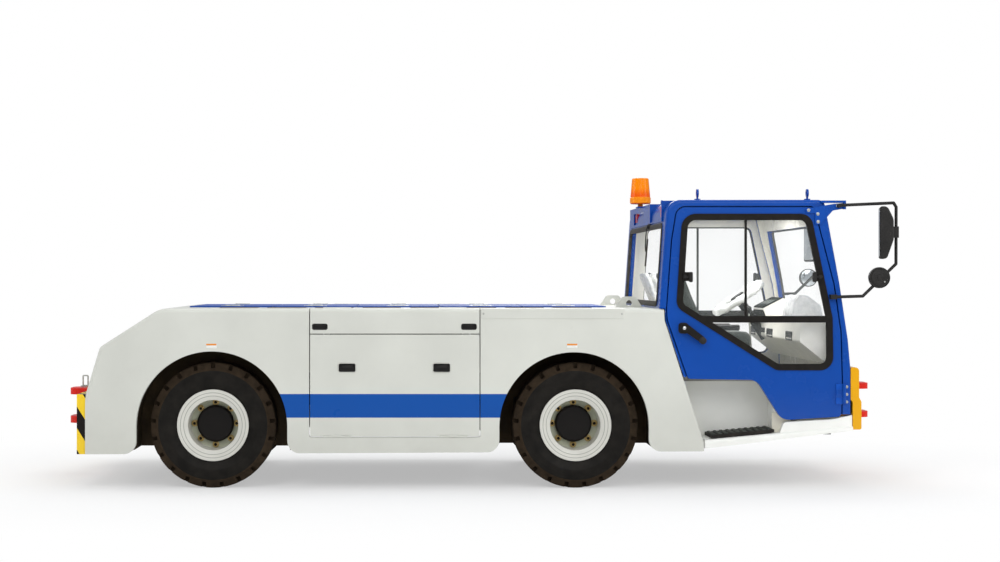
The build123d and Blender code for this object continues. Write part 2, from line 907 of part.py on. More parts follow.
def step_wells():
    """Sills with the recessed steps under the doors."""
    (x0, z0), (x1, z1) = well_line
    floor = [(x0, z0, 0), (x1, z1, 0), (x1, z1 - well_wall, 0), (x0, z0 - well_wall, 0)]
    sheet_y = (well_y[0], sill_y[0] + well_wall)
    well = plate(outline(floor), sheet_y)
    wall = [(x0, z0 - well_wall, 0), (x0, well_top, 0), (x1, well_top, 0), (x1, z1 - well_wall, 0)]
    well += plate(outline(wall), well_y)
    well += block((x1 - well_wall, x1), (well_y[0], lip_y[0]), (z1 - well_wall, well_top))
    well += block((x0, x0 + well_wall), (well_y[0], lip_y[0]), (z0, well_top))
    bar = [(x, z, 0) for x, z in sill_line] + [(x, z, 0) for x, z in reversed(sill_low)]
    sill = plate(outline(bar), sill_y)
    nose = sill.edges().filter_by(
        lambda edge: abs(edge.center().Y - sill_y[1]) < near
        and edge.center().Z > slope_at(sill_line, edge.center().X) - near
        and edge.length > tread_x[1] - tread_x[0]
    )
    sill = fillet(nose, sill_round)
    save_pair("step_sill", well + sill + plate(outline(kerb_rows), kerb_y))
    top = [(x, slope_at(well_line, x)) for x in tread_x]
    tread = [(x, z, 0) for x, z in top] + [(x, z + tread_thick, 0) for x, z in reversed(top)]
    tread = plate(outline(tread), tread_y)
    save("step_treads", tread + flipped(tread))


def door():
    """Door leaf with its window, trim, hinge and mirror."""
    face = offset(outline(door_rows), amount=-door_gap)
    pane = outline(window_rows)
    leaf = plate(face - pane, (door_y, half_width))
    leaf += rod_z_at(hinge_x, hinge_y, hinge_r, low_hinge_door)
    leaf += block((low_leaf_x[0], strap_x), (half_width, strap_y[1]), low_hinge_door)
    leaf += block((strap_x, hinge_x), strap_y, low_hinge_door)
    leaf += plate(outline(neck_rows), neck_y)
    leaf += plate(outline(neck_rows) & face, (half_width, neck_y[1]))
    leaf += rod_z_at(hinge_x, hinge_y, hinge_r, top_hinge_door)
    save_pair("door", leaf)
    save_pair("door_glass", plate(offset(pane, amount=-slack), (door_glass_y, door_glass_y + glass)))
    seat = door_glass_y + glass
    lap = offset(pane, amount=-gasket_lap)
    ring = offset(pane, amount=gasket_wide) - lap
    trim = plate(ring, (half_width, half_width + gasket_proud))
    trim += plate(offset(pane, amount=-slack) - lap, (seat, half_width + gasket_proud))
    for x0, x1, z0, z1 in (mid_bar, upright_bar):
        bar = plate(offset(pane, amount=-slack), (seat, half_width + gasket_proud))
        trim += bar & block((x0, x1), (seat, half_width + gasket_proud), (z0, z1))
    grip = plate(outline(handle_rows), (half_width, half_width + handle_proud))
    grip -= block((handle_free_x, hinge_x), (half_width, half_width + handle_room), (0, roof_top))
    for x0, x1, z0, z1 in latch_knobs:
        trim += block((x0, x1), (half_width + gasket_proud, half_width + knob_proud), (z0, z1))
    save_pair("door_trim", trim + grip)


def mirrors():
    """Mirror arm with its two heads."""
    tube = Part()
    for (x0, z0), (x1, z1) in zip(mirror_path, mirror_path[1:]):
        start, end = Vector(x0, mirror_y, z0), Vector(x1, mirror_y, z1)
        tube += Plane(start, z_dir=end - start) * Cylinder(
            mirror_tube_r, (end - start).length, align=(Align.CENTER, Align.CENTER, Align.MIN)
        )
        tube += Pos(*end) * Sphere(mirror_tube_r)
    head = plate(outline(mirror_head_rows), mirror_head_y)
    head = fillet(head.faces().sort_by(Axis.Y)[-1].edges(), mirror_head_round)
    middle = Pos((mirror_head_rows[0][0] + mirror_head_rows[3][0]) / 2, sum(mirror_head_y) / 2)
    tube += middle * Rot(0, 0, mirror_head_turn) * middle.inverse() * head
    x0, x1, z0, z1 = mirror_clamp
    tube += block((x0, x1), (mirror_y - clamp_half, mirror_y + clamp_half), (z0, z1))
    x0, x1, z0, z1 = mirror_foot
    tube += block((x0, x1), (half_width, mirror_y + mirror_tube_r), (z0, z1))
    x, z, radius = mirror_round
    tube += rod_y(x, z, radius, (mirror_y, mirror_y + round_deep))
    x, z, radius = mirror_boss
    tube += rod_y(x, z, radius, (neck_y[1], mirror_y + mirror_tube_r))
    save_pair("mirror", tube)


def furniture():
    """Seats, dashboard and the steering wheel."""
    seats = Part()
    for side in (-1, 1):
        middle = side * seat_y
        wide = (middle - seat_half, middle + seat_half)
        cushion = block(seat_x, wide, seat_z)
        seats += fillet(cushion.edges(), cushion_round)
        seats += block(seat_base_x, (middle - seat_base_half, middle + seat_base_half),
                       (seat_floor, seat_z[0]))
        seats += plate(outline(back_rows), wide)
    save("seats", seats)
    dash = plate(outline(dash_rows), (-dash_half, dash_half))
    dash += plate(outline(pod_rows), pod_y)
    dash = dash & plate(
        offset(outline(cab_rows), amount=-panel_wall - slack), (-dash_half, dash_half)
    )
    save("dashboard", dash)
    x, y, z = wheel_centre
    place = Pos(x, y, z) * Rot(0, -wheel_tilt, 0)
    ring = Torus(steer_wheel_r - steer_tube_r, steer_tube_r)
    ring += Cylinder(steer_hub_r, 2 * steer_tube_r)
    for count in range(spoke_count):
        turn = Rot(0, 0, count * 360 / spoke_count)
        ring += turn * Pos(steer_wheel_r / 2, 0, 0) * Box(
            steer_wheel_r - 2 * steer_tube_r, 2 * steer_tube_r, steer_tube_r
        )
    save("steering_wheel", place * ring)
    column = Pos(0, 0, -steer_tube_r - slack) * Cylinder(
        column_r, column_long, align=(Align.CENTER, Align.CENTER, Align.MAX)
    )
    save("steering_column", place * column - dash)


def roof_gear():
    """Light rack, beacon, lamps and lifting eyes."""
    cab = outline(cab_rows)
    clear = plate(offset(cab, amount=slack), (-half_width, half_width))
    rack = block((rack_x[0], rack_x[0] + rack_sheet), rack_y, rack_z)
    rack -= block((rack_x[0], rack_x[1]), rack_window_y, rack_window_z)
    rack += block(rack_x, rack_ledge_y, (rack_z[0], rack_z[0] + rack_sheet))
    for start in rack_ends:
        rack += block(rack_x, (start, start + rack_sheet), rack_z)
    flat = (beacon_y - beacon_plate_half, beacon_y + beacon_plate_half)
    rack += block(beacon_plate, flat, (rack_z[1] - rack_sheet, rack_z[1]))
    save("light_rack", rack - clear)
    beacon = revolve(Plane.XZ * outline(beacon_rows), axis=Axis.Z)
    beacon = Pos(beacon_x, beacon_y, 0) * beacon
    beacon += rod_z_at(beacon_x, beacon_y, beacon_stem_r, (rack_z[1], beacon_rows[0][1]))
    save("beacon", beacon)
    lamps = Part()
    for place in rack_lamp_y:
        lamps += block(rack_lamp_x, place, rack_lamp_z) - clear
    tail = outline(side_rows)
    glow = offset(tail, amount=head_lamp_proud) - offset(tail, amount=slack)
    tail_lamp = plate(glow, tail_lamp_y) & block(
        (tail_bumper_x, tail_split_x), tail_lamp_y, tail_lamp_z
    )
    save("rear_lamps", lamps + tail_lamp + flipped(tail_lamp))
    glow = offset(cab, amount=head_lamp_proud) - cab
    head = plate(glow, head_lamp_y) & block(head_lamp_x, head_lamp_y, head_lamp_z)
    save("headlamps", head + flipped(head))
    gear = Part()
    for x, y in eyes:
        base = rod_z_at(x, y, eye_foot[0], (roof_top, roof_top + eye_foot[1]))
        ring = Pos(x, y, roof_top + eye_up) * Rot(0, 90, 0) * Cylinder(eye_r, 2 * eye_half)
        hole = Pos(x, y, roof_top + eye_up) * Rot(0, 90, 0) * Cylinder(eye_hole_r, 4 * eye_half)
        post = block((x - eye_half, x + eye_half), (y - eye_half, y + eye_half),
                     (roof_top, roof_top + eye_up))
        eye = base + post + ring - hole
        gear += eye + flipped(eye)
    save("roof_eyes", gear)


body_centre(body_side())
save("arch_liners", Part() + [
    part for name in liners for part in (liner(name), flipped(liner(name)))
])
chassis_frame()
front_axle()
steering_gear()
rear_axle()
wheels()
tow_gear()
deck_gear()
cab_side()
cab_centre()
step_wells()
door()
mirrors()
furniture()
roof_gear()
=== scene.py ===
"""Looks of the aircraft tow tractor: paint, rubber, glass, cab fittings and the stage."""

import math

import bmesh
import bpy
from bpy.props import FloatProperty, FloatVectorProperty, IntProperty, PointerProperty
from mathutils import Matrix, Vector


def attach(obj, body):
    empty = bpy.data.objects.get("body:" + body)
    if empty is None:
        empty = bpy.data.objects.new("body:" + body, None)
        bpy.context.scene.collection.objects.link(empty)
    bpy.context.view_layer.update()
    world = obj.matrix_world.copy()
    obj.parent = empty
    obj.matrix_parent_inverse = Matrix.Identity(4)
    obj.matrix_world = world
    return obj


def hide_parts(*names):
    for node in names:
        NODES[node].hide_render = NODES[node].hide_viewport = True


bl_info = {
    "name": "Tow Tractor Looks",
    "version": (1, 0, 0),
    "blender": (4, 5, 0),
    "location": "3D View > Sidebar > Tractor",
    "description": "Dresses the tow tractor with its paint, rubber, glass and cab fittings",
    "category": "Object",
}

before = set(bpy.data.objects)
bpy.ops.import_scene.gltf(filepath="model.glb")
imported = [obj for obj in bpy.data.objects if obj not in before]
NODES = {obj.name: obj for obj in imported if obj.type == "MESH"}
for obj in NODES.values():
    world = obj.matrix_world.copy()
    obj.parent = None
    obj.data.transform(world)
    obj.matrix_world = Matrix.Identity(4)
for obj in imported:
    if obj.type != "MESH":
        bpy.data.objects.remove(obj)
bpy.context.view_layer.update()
SIDES = (("right", -1), ("left", 1))
MM = 0.001
X, Y, Z = Vector((1, 0, 0)), Vector((0, 1, 0)), Vector((0, 0, 1))
FACING = {-1: (X, Z, -Y), 1: (X, Z, Y)}
UPWARD = (X, Y, Z)
REARWARD = (Y, Z, -X)
FORWARD = (Y, Z, X)

# places of the CAD part that the fittings stand on, in millimetres
WHEELS = {"front": 659, "rear": -1681}
AXLE_Z = 405
HUB_FACE, HUB_RADIUS, CAP_RADIUS, TREAD_RADIUS = 735, 161.5, 120.5, 352.0
NUT_COUNT, NUT_CIRCLE = 8, 137.5
SIDE_FACE = 1000
DECK_TOP, COVER_TOP = 1160, 1168
CAB_FLOOR = 711
SEAT_ACROSS = 450
LAMP_X, LAMP_Z = 2412, 880
WHEEL_HUB = Vector((1953, 450, 1212))
ROUND_MIRROR = (2586, 1358)

# how high road dust reaches, the roughness limits and coat of the cab, and the shading's edges
DUST_TOP = 650.0
CAB_GLOSS = ((0.2, 0.32), 0.1)
SHARP_ANGLE = math.radians(35)


def linear(code):
    """A colour written as an sRGB hex value, as linear RGBA."""
    parts = [int(code[i:i + 2], 16) / 255 for i in (1, 3, 5)]
    return [p / 12.92 if p <= 0.04045 else ((p + 0.055) / 1.055) ** 2.4 for p in parts] + [1.0]


def tint(code, name, description):
    """A colour that a user can change."""
    return FloatVectorProperty(name=name, description=description, subtype="COLOR", size=4,
                               min=0, max=1, default=linear(code))


def length(mm, name, description):
    """A length that a user can change."""
    return FloatProperty(name=name, description=description, default=mm * MM, min=0,
                         unit="LENGTH", subtype="DISTANCE")


class TractorLooks(bpy.types.PropertyGroup):
    """Sizes and colours that a user would change."""
    body_white: tint("#D8D9D0", "Body white", "Enamel of the sides, lids and deck")
    cab_blue: tint("#0648A4", "Cab blue", "Enamel of the cab and its doors")
    stripe_blue: tint("#0C50A4", "Stripe blue", "Painted band between the wheel arches")
    hitch_red: tint("#DE2519", "Hitch red", "Enamel of the tow jaws")
    tail_yellow: tint("#FFD630", "Tail yellow", "Ground of the striped tail bumper")
    nose_yellow: tint("#EBAA10", "Nose yellow", "Enamel of the nose bumper")
    tyre_brown: tint("#33291E", "Tyre rubber", "Dusty rubber of the treads")
    rim_white: tint("#DAD9D0", "Rim white", "Enamel of the wheel rims")
    beacon_amber: tint("#FF8C00", "Beacon amber", "Moulded lens of the beacon")
    stripe_low: length(460, "Stripe low edge", "Height of the blue band's lower edge")
    stripe_high: length(612, "Stripe high edge", "Height of the blue band's upper edge")
    hazard_band: length(86, "Hazard band", "Level width of one black band on the tail bumper")
    nut_size: length(17, "Wheel nut size", "Half width of the wheel nuts over their corners")
    tread_ribs: IntProperty(name="Step ribs", description="Ribs across each step", default=10,
                            min=2)
    cushion_puff: length(22, "Cushion puff", "Furthest that stuffing may push a seat's skin")


def looks():
    """The scene's sizes and colours."""
    return bpy.context.scene.tractor_looks


def colour_of(value):
    """A hex value or a user's colour, as linear RGBA."""
    return linear(value) if isinstance(value, str) else list(value)


def toned(value, share):
    """The same colour, lighter or darker by a share."""
    return [min(1.0, part * share) for part in colour_of(value)[:3]] + [1.0]


def add_node(tree, kind, settings=None, **links):
    """Add a shader node, give it its settings, and link its sockets from other outputs."""
    node = tree.nodes.new("ShaderNode" + kind)
    for key, value in (settings or {}).items():
        if isinstance(key, int) or key in node.inputs:
            node.inputs[key].default_value = value
        else:
            setattr(node, key, value)
    for key, source in links.items():
        numbered = key[0] == "i" and key[1:].isdigit()
        tree.links.new(source, node.inputs[int(key[1:]) if numbered else key.replace("_", " ")])
    return node


class Skin:
    """A material being painted: its Principled shader and the nodes that feed it."""

    def __init__(self, name, **settings):
        self.material = bpy.data.materials.new(name)
        self.material.use_nodes = True
        self.tree = self.material.node_tree
        self.tree.nodes.clear()
        self.shader = self.add("BsdfPrincipled", {
            key.replace("_", " "): value for key, value in settings.items()})
        self.add("OutputMaterial", Surface=self.shader.outputs[0])
        # places are in millimetres, so that pattern sizes read as real sizes
        self.spot = self.add("VectorMath", {"operation": "SCALE", "Scale": 1 / MM},
                             i0=self.add("TexCoord").outputs["Object"]).outputs[0]

    def add(self, kind, settings=None, **links):
        """Add a node to this material."""
        return add_node(self.tree, kind, settings, **links)

    def feed(self, socket, source):
        """Link an output to one of the shader's sockets."""
        self.tree.links.new(source, self.shader.inputs[socket])

    def grain(self, size_mm, detail=3.0):
        """Noise whose blotches are about size_mm across."""
        return self.add("TexNoise", {"Scale": 1.0 / size_mm, "Detail": detail},
                        Vector=self.spot).outputs["Fac"]

    def shade(self, factor, low, high):
        """A colour between two colours along a factor."""
        ramp = self.add("ValToRGB", Fac=factor)
        low_end, high_end = ramp.color_ramp.elements
        low_end.position, high_end.position = 0.32, 0.68
        low_end.color, high_end.color = colour_of(low), colour_of(high)
        return ramp.outputs["Color"]

    def spread(self, factor, low, high):
        """A number between two limits along a factor."""
        return self.add("MapRange", {"To Min": low, "To Max": high},
                        Value=factor).outputs[0]

    def mottle(self, size_mm, low, high, detail=3.0):
        """Colour the shader in blotches between two colours."""
        self.feed("Base Color", self.shade(self.grain(size_mm, detail), low, high))

    def vary(self, size_mm, low, high, detail=3.0, socket="Roughness"):
        """Let one of the shader's numbers wander in blotches between two limits."""
        self.feed(socket, self.spread(self.grain(size_mm, detail), low, high))

    def math(self, operation, *values):
        """One Math node on outputs and plain numbers."""
        node = self.add("Math", {"operation": operation})
        for socket, value in zip(node.inputs, values):
            if isinstance(value, (int, float)):
                socket.default_value = value
            else:
                self.tree.links.new(value, socket)
        return node.outputs[0]

    def within(self, value, low, high):
        """1 between two limits, 0 outside them."""
        return self.math("MULTIPLY", self.math("GREATER_THAN", value, low),
                         self.math("LESS_THAN", value, high))

    def ripple(self, value, pitch):
        """A wave along a length, from -1 to 1."""
        return self.math("SINE", self.math("MULTIPLY", value, 2 * math.pi / pitch))

    def mixed(self, factor, first, second):
        """Two colours mixed by a factor."""
        node = self.add("Mix", {"data_type": "RGBA"}, Factor=factor)
        for value, socket in ((first, node.inputs[6]), (second, node.inputs[7])):
            if isinstance(value, (str, list)):
                socket.default_value = colour_of(value)
            else:
                self.tree.links.new(value, socket)
        return node.outputs[2]

    def overpaint(self, factor, colour):
        """Paint a second colour where the factor is 1."""
        base = self.shader.inputs["Base Color"].links[0].from_socket
        self.feed("Base Color", self.mixed(factor, base, colour))

    def apart(self, vector=None):
        """The three coordinates of a vector, or of the place itself."""
        return self.add("SeparateXYZ",
                        Vector=self.spot if vector is None else vector).outputs

    def from_axle(self, wheel_x):
        """How far a place is from a wheel's axle."""
        along, _, up = self.apart()
        flat = self.add("CombineXYZ", X=self.math("SUBTRACT", along, float(wheel_x)),
                        Y=self.math("SUBTRACT", up, float(AXLE_Z)))
        return self.add("VectorMath", {"operation": "LENGTH"},
                        i0=flat.outputs[0]).outputs["Value"]

    def roughen(self, height, strength, depth_mm):
        """Bump of a real depth in millimetres."""
        self.feed("Normal", self.add("Bump", {
            "Strength": strength, "Distance": depth_mm * MM}, Height=height).outputs[0])


def sprayed(name, colour, rough=(0.24, 0.36), coat=0.07):
    """The skin of vehicle enamel: even gloss, faint orange peel, and soiling near the sills."""
    skin = Skin(name, Roughness=rough[0], Coat_Weight=coat, Coat_Roughness=0.12,
                Specular_IOR_Level=0.16)
    base = skin.shade(skin.grain(420, 4), toned(colour, 0.95), toned(colour, 1.04))
    # road dust lies thicker low on the panels, in patches about 90 mm across
    clean = skin.math("MINIMUM", 1.0, skin.math("DIVIDE", skin.apart()[2], DUST_TOP))
    dust = skin.math("MULTIPLY", skin.spread(skin.grain(90, 4), 0.0, 0.2),
                     skin.math("SUBTRACT", 1.0, clean))
    skin.feed("Base Color", skin.mixed(dust, base, "#8F8674"))
    skin.vary(160, *rough)
    # orange peel is a millimetre wide on the real paint and is drawn at 6 mm to show
    skin.roughen(skin.grain(6, 1), 0.02, 0.2)
    return skin


def enamel(*details):
    """Vehicle enamel of one colour: an even sprayed gloss that soils near the sills."""
    return sprayed(*details).material


def lined_enamel(name, inward=None):
    """Cab enamel outside and cream trim panels on the faces that look into the cab."""
    skin = sprayed(name, looks().cab_blue, *CAB_GLOSS)
    normal = skin.add("TexCoord").outputs["Normal"]
    if inward:
        facing = skin.add("VectorMath", {"operation": "DOT_PRODUCT", 1: inward},
                          i0=normal).outputs["Value"]
    else:
        to_middle = skin.math("MULTIPLY", -1.0, skin.math("SIGN", skin.apart()[1]))
        facing = skin.math("MULTIPLY", skin.apart(normal)[1], to_middle)
    skin.overpaint(skin.math("GREATER_THAN", facing, 0.5), "#EDEBE1")
    return skin.material


def striped_enamel():
    """White side enamel with the blue band between the wheel arches: the side's main mark."""
    look = looks()
    skin = sprayed("side_striped_enamel", look.body_white)
    along, _, up = skin.apart()
    level = skin.within(up, look.stripe_low / MM, look.stripe_high / MM)
    between_arches = skin.within(along, -1500.0, 500.0)
    skin.overpaint(skin.math("MULTIPLY", level, between_arches), list(look.stripe_blue))
    return skin.material


def hazard_enamel():
    """Yellow bumper enamel with slanting black bands, as tape laid on the steel would give."""
    look = looks()
    skin = sprayed("tail_hazard_enamel", look.tail_yellow, (0.3, 0.42), 0.04)
    along, across, up = skin.apart()
    # the bands fall 1.6 in height for 1 across, and repeat every two band widths
    fall, first_band = 0.62, 25.8
    run = skin.math("ADD", skin.math("MULTIPLY", up, fall), skin.math("ADD", along, across))
    pitch = 2 * look.hazard_band / MM
    wave = skin.math("MODULO", skin.math("ADD", run, 100 * pitch + first_band), pitch)
    skin.overpaint(skin.math("LESS_THAN", wave, pitch / 2), "#17120E")
    return skin.material


def rim_enamel(name, wheel_x):
    """Rim in white enamel with painted shade in its grooves, its hub face in primer grey with a
    black cap.
    """
    skin = sprayed(name, looks().rim_white, (0.3, 0.42), 0.05)
    out = skin.math("ABSOLUTE", skin.apart()[1])
    radius = skin.from_axle(wheel_x)
    # the pressed grooves of the flange and the bead seat are about 4 mm wide, and a darker grey is
    # painted in them as painted shade
    groove_shade = skin.math("ADD", skin.within(radius, 208.0, 212.0),
                        skin.within(radius, 187.0, 191.0))
    for factor, colour in (
        (skin.math("MULTIPLY", skin.math("LESS_THAN", radius, HUB_RADIUS),
                   skin.within(out, 700.0, 762.0)), "#BFC2AC"),
        (groove_shade, "#A3A49A"),
        (skin.math("MULTIPLY", skin.math("LESS_THAN", radius, CAP_RADIUS),
                   skin.within(out, HUB_FACE + 0.6, 800.0)), "#120E0B"),
    ):
        skin.overpaint(factor, colour)
    return skin.material


def tyre_rubber(name, wheel_x):
    """Moulded solid rubber: matt brown-black lugs, and smoother black sides with ring lines."""
    skin = Skin(name, Roughness=0.7, IOR=1.52, Specular_IOR_Level=0.12)
    radius = skin.from_axle(wheel_x)
    tread = skin.math("GREATER_THAN", radius, TREAD_RADIUS)
    dusty = skin.shade(skin.grain(45, 5), toned(looks().tyre_brown, 0.75),
                       toned(looks().tyre_brown, 1.25))
    clean = skin.shade(skin.grain(70, 4), "#12100D", "#1F1C18")
    skin.feed("Base Color", skin.mixed(tread, clean, dusty))
    rough = skin.add("Mix", {"data_type": "FLOAT"}, Factor=tread,
                     i2=skin.spread(skin.grain(60), 0.38, 0.5),
                     i3=skin.spread(skin.grain(30), 0.75, 0.92))
    skin.feed("Roughness", rough.outputs[0])
    # ring lines 6 mm wide stand on the sides, two below the lugs and one above the rim
    lines = skin.math("ADD", skin.within(radius, 338.0, 344.0), skin.math(
        "ADD", skin.within(radius, 318.0, 323.0), skin.within(radius, 246.0, 252.0)))
    # the rubber's own skin of under 1 mm is drawn at 3 mm to show
    height = skin.math("ADD", lines, skin.math("MULTIPLY", skin.grain(3, 2), 0.25))
    skin.roughen(height, 0.5, 1.6)
    return skin.material


def rubber(name, low="#120F0C", high="#1C1814", size_mm=30):
    """Extruded black rubber: matt, a little browned, with a fine skin."""
    skin = Skin(name, Roughness=0.75, IOR=1.52, Specular_IOR_Level=0.2)
    skin.mottle(size_mm, low, high, 4)
    skin.vary(size_mm / 2, 0.55, 0.85)
    # the skin's grain of under 1 mm is drawn at 3 mm to show
    skin.roughen(skin.grain(3, 2), 0.3, 0.3)
    return skin.material


def plastic(name, low, high, rough=(0.4, 0.6), grain_mm=2.5, glint=0.3):
    """Injection-moulded plastic: even colour with a shallow leather-like grain."""
    skin = Skin(name, Roughness=rough[0], IOR=1.49, Specular_IOR_Level=glint)
    skin.mottle(90, low, high)
    skin.vary(30, *rough)
    cells = skin.add("TexVoronoi", {"Scale": 1.0 / grain_mm}, Vector=skin.spot)
    skin.roughen(cells.outputs["Distance"], 0.15, 0.2)
    return skin.material


def metal(name, low, high, rough=(0.28, 0.45), size_mm=12):
    """Plated or turned metal: bright, with faint mottling of its plating."""
    skin = Skin(name, Metallic=1.0, Roughness=rough[0])
    skin.mottle(size_mm, low, high)
    skin.vary(size_mm / 2, *rough)
    return skin.material


def float_glass():
    """Float window glass: nearly clear, with a soft sheen and a little dust."""
    skin = Skin("window_float_glass", Roughness=0.03, IOR=1.45, Alpha=0.05)
    skin.mottle(300, "#DCE6E4", "#EDF3F2")
    skin.vary(350, 0.02, 0.06)
    skin.vary(500, 0.03, 0.06, socket="Alpha")
    return skin.material


def lens(name, low, high, rib_mm=9.0):
    """The skin of a moulded lens: glossy tinted polycarbonate with upright prism ribs."""
    skin = Skin(name, Roughness=0.14, IOR=1.58, Coat_Weight=0.15, Coat_Roughness=0.05,
                Specular_IOR_Level=0.3)
    skin.mottle(40, low, high)
    skin.vary(20, 0.1, 0.2)
    skin.roughen(skin.ripple(skin.apart()[1], rib_mm), 0.25, 0.5)
    return skin


def lamp_lens():
    """Marker lamp lenses: amber at the tail's outer ends and ahead on the rack, else red."""
    skin = lens("marker_lamp_polycarbonate", "#C4170F", "#DB2A1A")
    along, across, _ = skin.apart()
    ahead = skin.math("GREATER_THAN", along, 1253.0)
    outer = skin.math("MULTIPLY", skin.math("LESS_THAN", along, 0.0),
                      skin.math("GREATER_THAN", skin.math("ABSOLUTE", across), 775.0))
    skin.overpaint(skin.math("MAXIMUM", ahead, outer), "#F08A1C")
    return skin.material


def beacon_lens():
    """Amber polycarbonate beacon with a faint painted glow, over a paler clamp ring, with a dark
    foot and stem.
    """
    skin = Skin("beacon_polycarbonate", Roughness=0.14, IOR=1.58, Coat_Weight=0.04,
                Coat_Roughness=0.05, Specular_IOR_Level=0.1, Emission_Color=linear("#FF8400"),
                Emission_Strength=0.14)
    along, across, up = skin.apart()
    foot, ring, lens_height = 1880.0, (1884.0, 1926.0), 130.0
    # a faint painted glow stands in for light passing through the lens and lifts its amber, and
    # its thick lower edge is nearly red
    depth = skin.math("DIVIDE", skin.math("SUBTRACT", up, 1900.0), lens_height)
    body = skin.shade(depth, "#F25500", looks().beacon_amber)
    ringed = skin.mixed(skin.within(up, *ring), body, "#F9941A")
    skin.feed("Base Color", skin.mixed(skin.math("LESS_THAN", up, foot), ringed, "#1E1B18"))
    skin.vary(30, 0.1, 0.22)
    # 24 upright prism ribs round the lens, above the ring
    angle = skin.math("ARCTAN2", skin.math("SUBTRACT", across, 200.0),
                      skin.math("SUBTRACT", along, 1217.0))
    ribs = skin.math("SINE", skin.math("MULTIPLY", angle, 24.0))
    skin.roughen(skin.math("MULTIPLY", ribs, skin.math("GREATER_THAN", up, 1928.0)), 0.35, 1.0)
    return skin.material


def cloth(name, low, high, thread_mm=4.0):
    """Woven seat cloth: matt crossed threads with a little sheen."""
    skin = Skin(name, Roughness=0.9, Sheen_Weight=0.25)
    # threads of 1 mm are drawn at 4 mm to show
    warp, weft, _ = skin.apart()
    threads = skin.math("MULTIPLY", skin.ripple(warp, thread_mm), skin.ripple(weft, thread_mm))
    fleck = skin.math("MULTIPLY_ADD", threads, 0.15, skin.grain(12))
    skin.feed("Base Color", skin.shade(fleck, low, high))
    skin.vary(20, 0.8, 0.95)
    skin.roughen(threads, 0.3, 0.5)
    return skin.material


def film(name, low, high):
    """Loose polythene film over a new fitting: pale, glossy and creased."""
    skin = Skin(name, Roughness=0.25, IOR=1.5, Coat_Weight=0.6, Coat_Roughness=0.1)
    skin.mottle(45, low, high, 5)
    skin.vary(30, 0.16, 0.42, 5)
    skin.roughen(skin.grain(28, 6), 0.7, 4.0)
    return skin.material


def grit(name):
    """Bonded-grit walkway strip: grey-brown and coarse, mottled lighter in patches."""
    skin = Skin(name, Roughness=0.9)
    skin.mottle(22, "#6F685C", "#8B8374", 6)
    # grit of 1 mm is drawn at 4 mm to show
    skin.roughen(skin.grain(4, 2), 0.8, 1.0)
    skin.vary(35, 0.82, 0.97)
    return skin.material


def rounded_loop(bm, centre, axes, half_u, half_v, corner, out, steps=4):
    """A loop of points on a rounded rectangle."""
    u, v, n = axes
    corner = max(0.01, min(corner, half_u, half_v))
    loop = []
    for quarter, (side_u, side_v) in enumerate(((1, 1), (-1, 1), (-1, -1), (1, -1))):
        for step in range(steps + 1):
            angle = math.pi / 2 * (quarter + step / steps)
            a = side_u * (half_u - corner) + corner * math.cos(angle)
            b = side_v * (half_v - corner) + corner * math.sin(angle)
            loop.append(bm.verts.new((Vector(centre) + u * a + v * b + n * out) * MM))
    return loop


def round_loop(bm, centre, axes, radius, out, count):
    """A loop of points on a circle."""
    u, v, n = axes
    return [
        bm.verts.new((Vector(centre) + n * out + radius * (
            u * math.cos(2 * math.pi * i / count) + v * math.sin(2 * math.pi * i / count))) * MM)
        for i in range(count)
    ]


def skinned(bm, loops, slot=0, ends=(True, True)):
    """Join loops of points into a skin, with end faces where asked."""
    for low, high in zip(loops, loops[1:]):
        for i in range(len(low)):
            j = (i + 1) % len(low)
            bm.faces.new((low[i], low[j], high[j], high[i])).material_index = slot
    if ends[0]:
        bm.faces.new(list(reversed(loops[0]))).material_index = slot
    if ends[1]:
        bm.faces.new(loops[-1]).material_index = slot


def pad(bm, centre, axes, size, corner, rows, slot=0, ends=(True, True), steps=4):
    """A rounded plate from rows of how far each section grows and stands out."""
    skinned(bm, [
        rounded_loop(bm, centre, axes, size[0] / 2 + grow, size[1] / 2 + grow, corner + grow, out,
                     steps)
        for grow, out in rows
    ], slot, ends)


def wedge(bm, corners, across, bevel):
    """A solid with its outline in the side view and eased ends."""
    low, high = across
    middle = sum((Vector(corner) for corner in corners), Vector((0, 0))) / len(corners)
    loops = []
    for place, share in ((low, bevel), (low + bevel, 0), (high - bevel, 0), (high, bevel)):
        loop = []
        for corner in corners:
            inward = (middle - Vector(corner)).normalized() * share
            loop.append(bm.verts.new(
                Vector((corner[0] + inward.x, place, corner[1] + inward.y)) * MM))
        loops.append(loop)
    skinned(bm, loops)


def turning(bm, centre, axes, rows, slot=0, count=24, ends=(True, True)):
    """A turned form from rows of radius and how far each section stands out."""
    skinned(bm, [round_loop(bm, centre, axes, radius, out, count) for radius, out in rows],
            slot, ends)


def bolt(bm, centre, axes, radius, slot=0):
    """A washer with a chamfered hexagon head on it."""
    turning(bm, centre, axes, [(radius * 1.5, 0), (radius * 1.5, radius * 0.2),
                               (radius * 1.4, radius * 0.25)], slot, 16)
    turning(bm, centre, axes, [(radius, radius * 0.25), (radius, radius * 0.75),
                               (radius * 0.82, radius * 0.95)], slot, 6)


def linked(name, data):
    """An object of some data, in the scene."""
    made = bpy.data.objects.new(name, data)
    bpy.context.scene.collection.objects.link(made)
    return made


def mesh_of(name, bm):
    """A mesh from points and faces, with its normals outward."""
    bmesh.ops.recalc_face_normals(bm, faces=bm.faces)
    mesh = bpy.data.meshes.new(name)
    bm.to_mesh(mesh)
    bm.free()
    return mesh


def piece(name, bm, materials, body="chassis"):
    """Finish a mesh, give it its materials, and let it ride on its body."""
    mesh = mesh_of(name, bm)
    for material in materials:
        mesh.materials.append(material)
    mesh.shade_smooth()
    mesh.set_sharp_from_angle(angle=SHARP_ANGLE)
    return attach(linked(name, mesh), body)


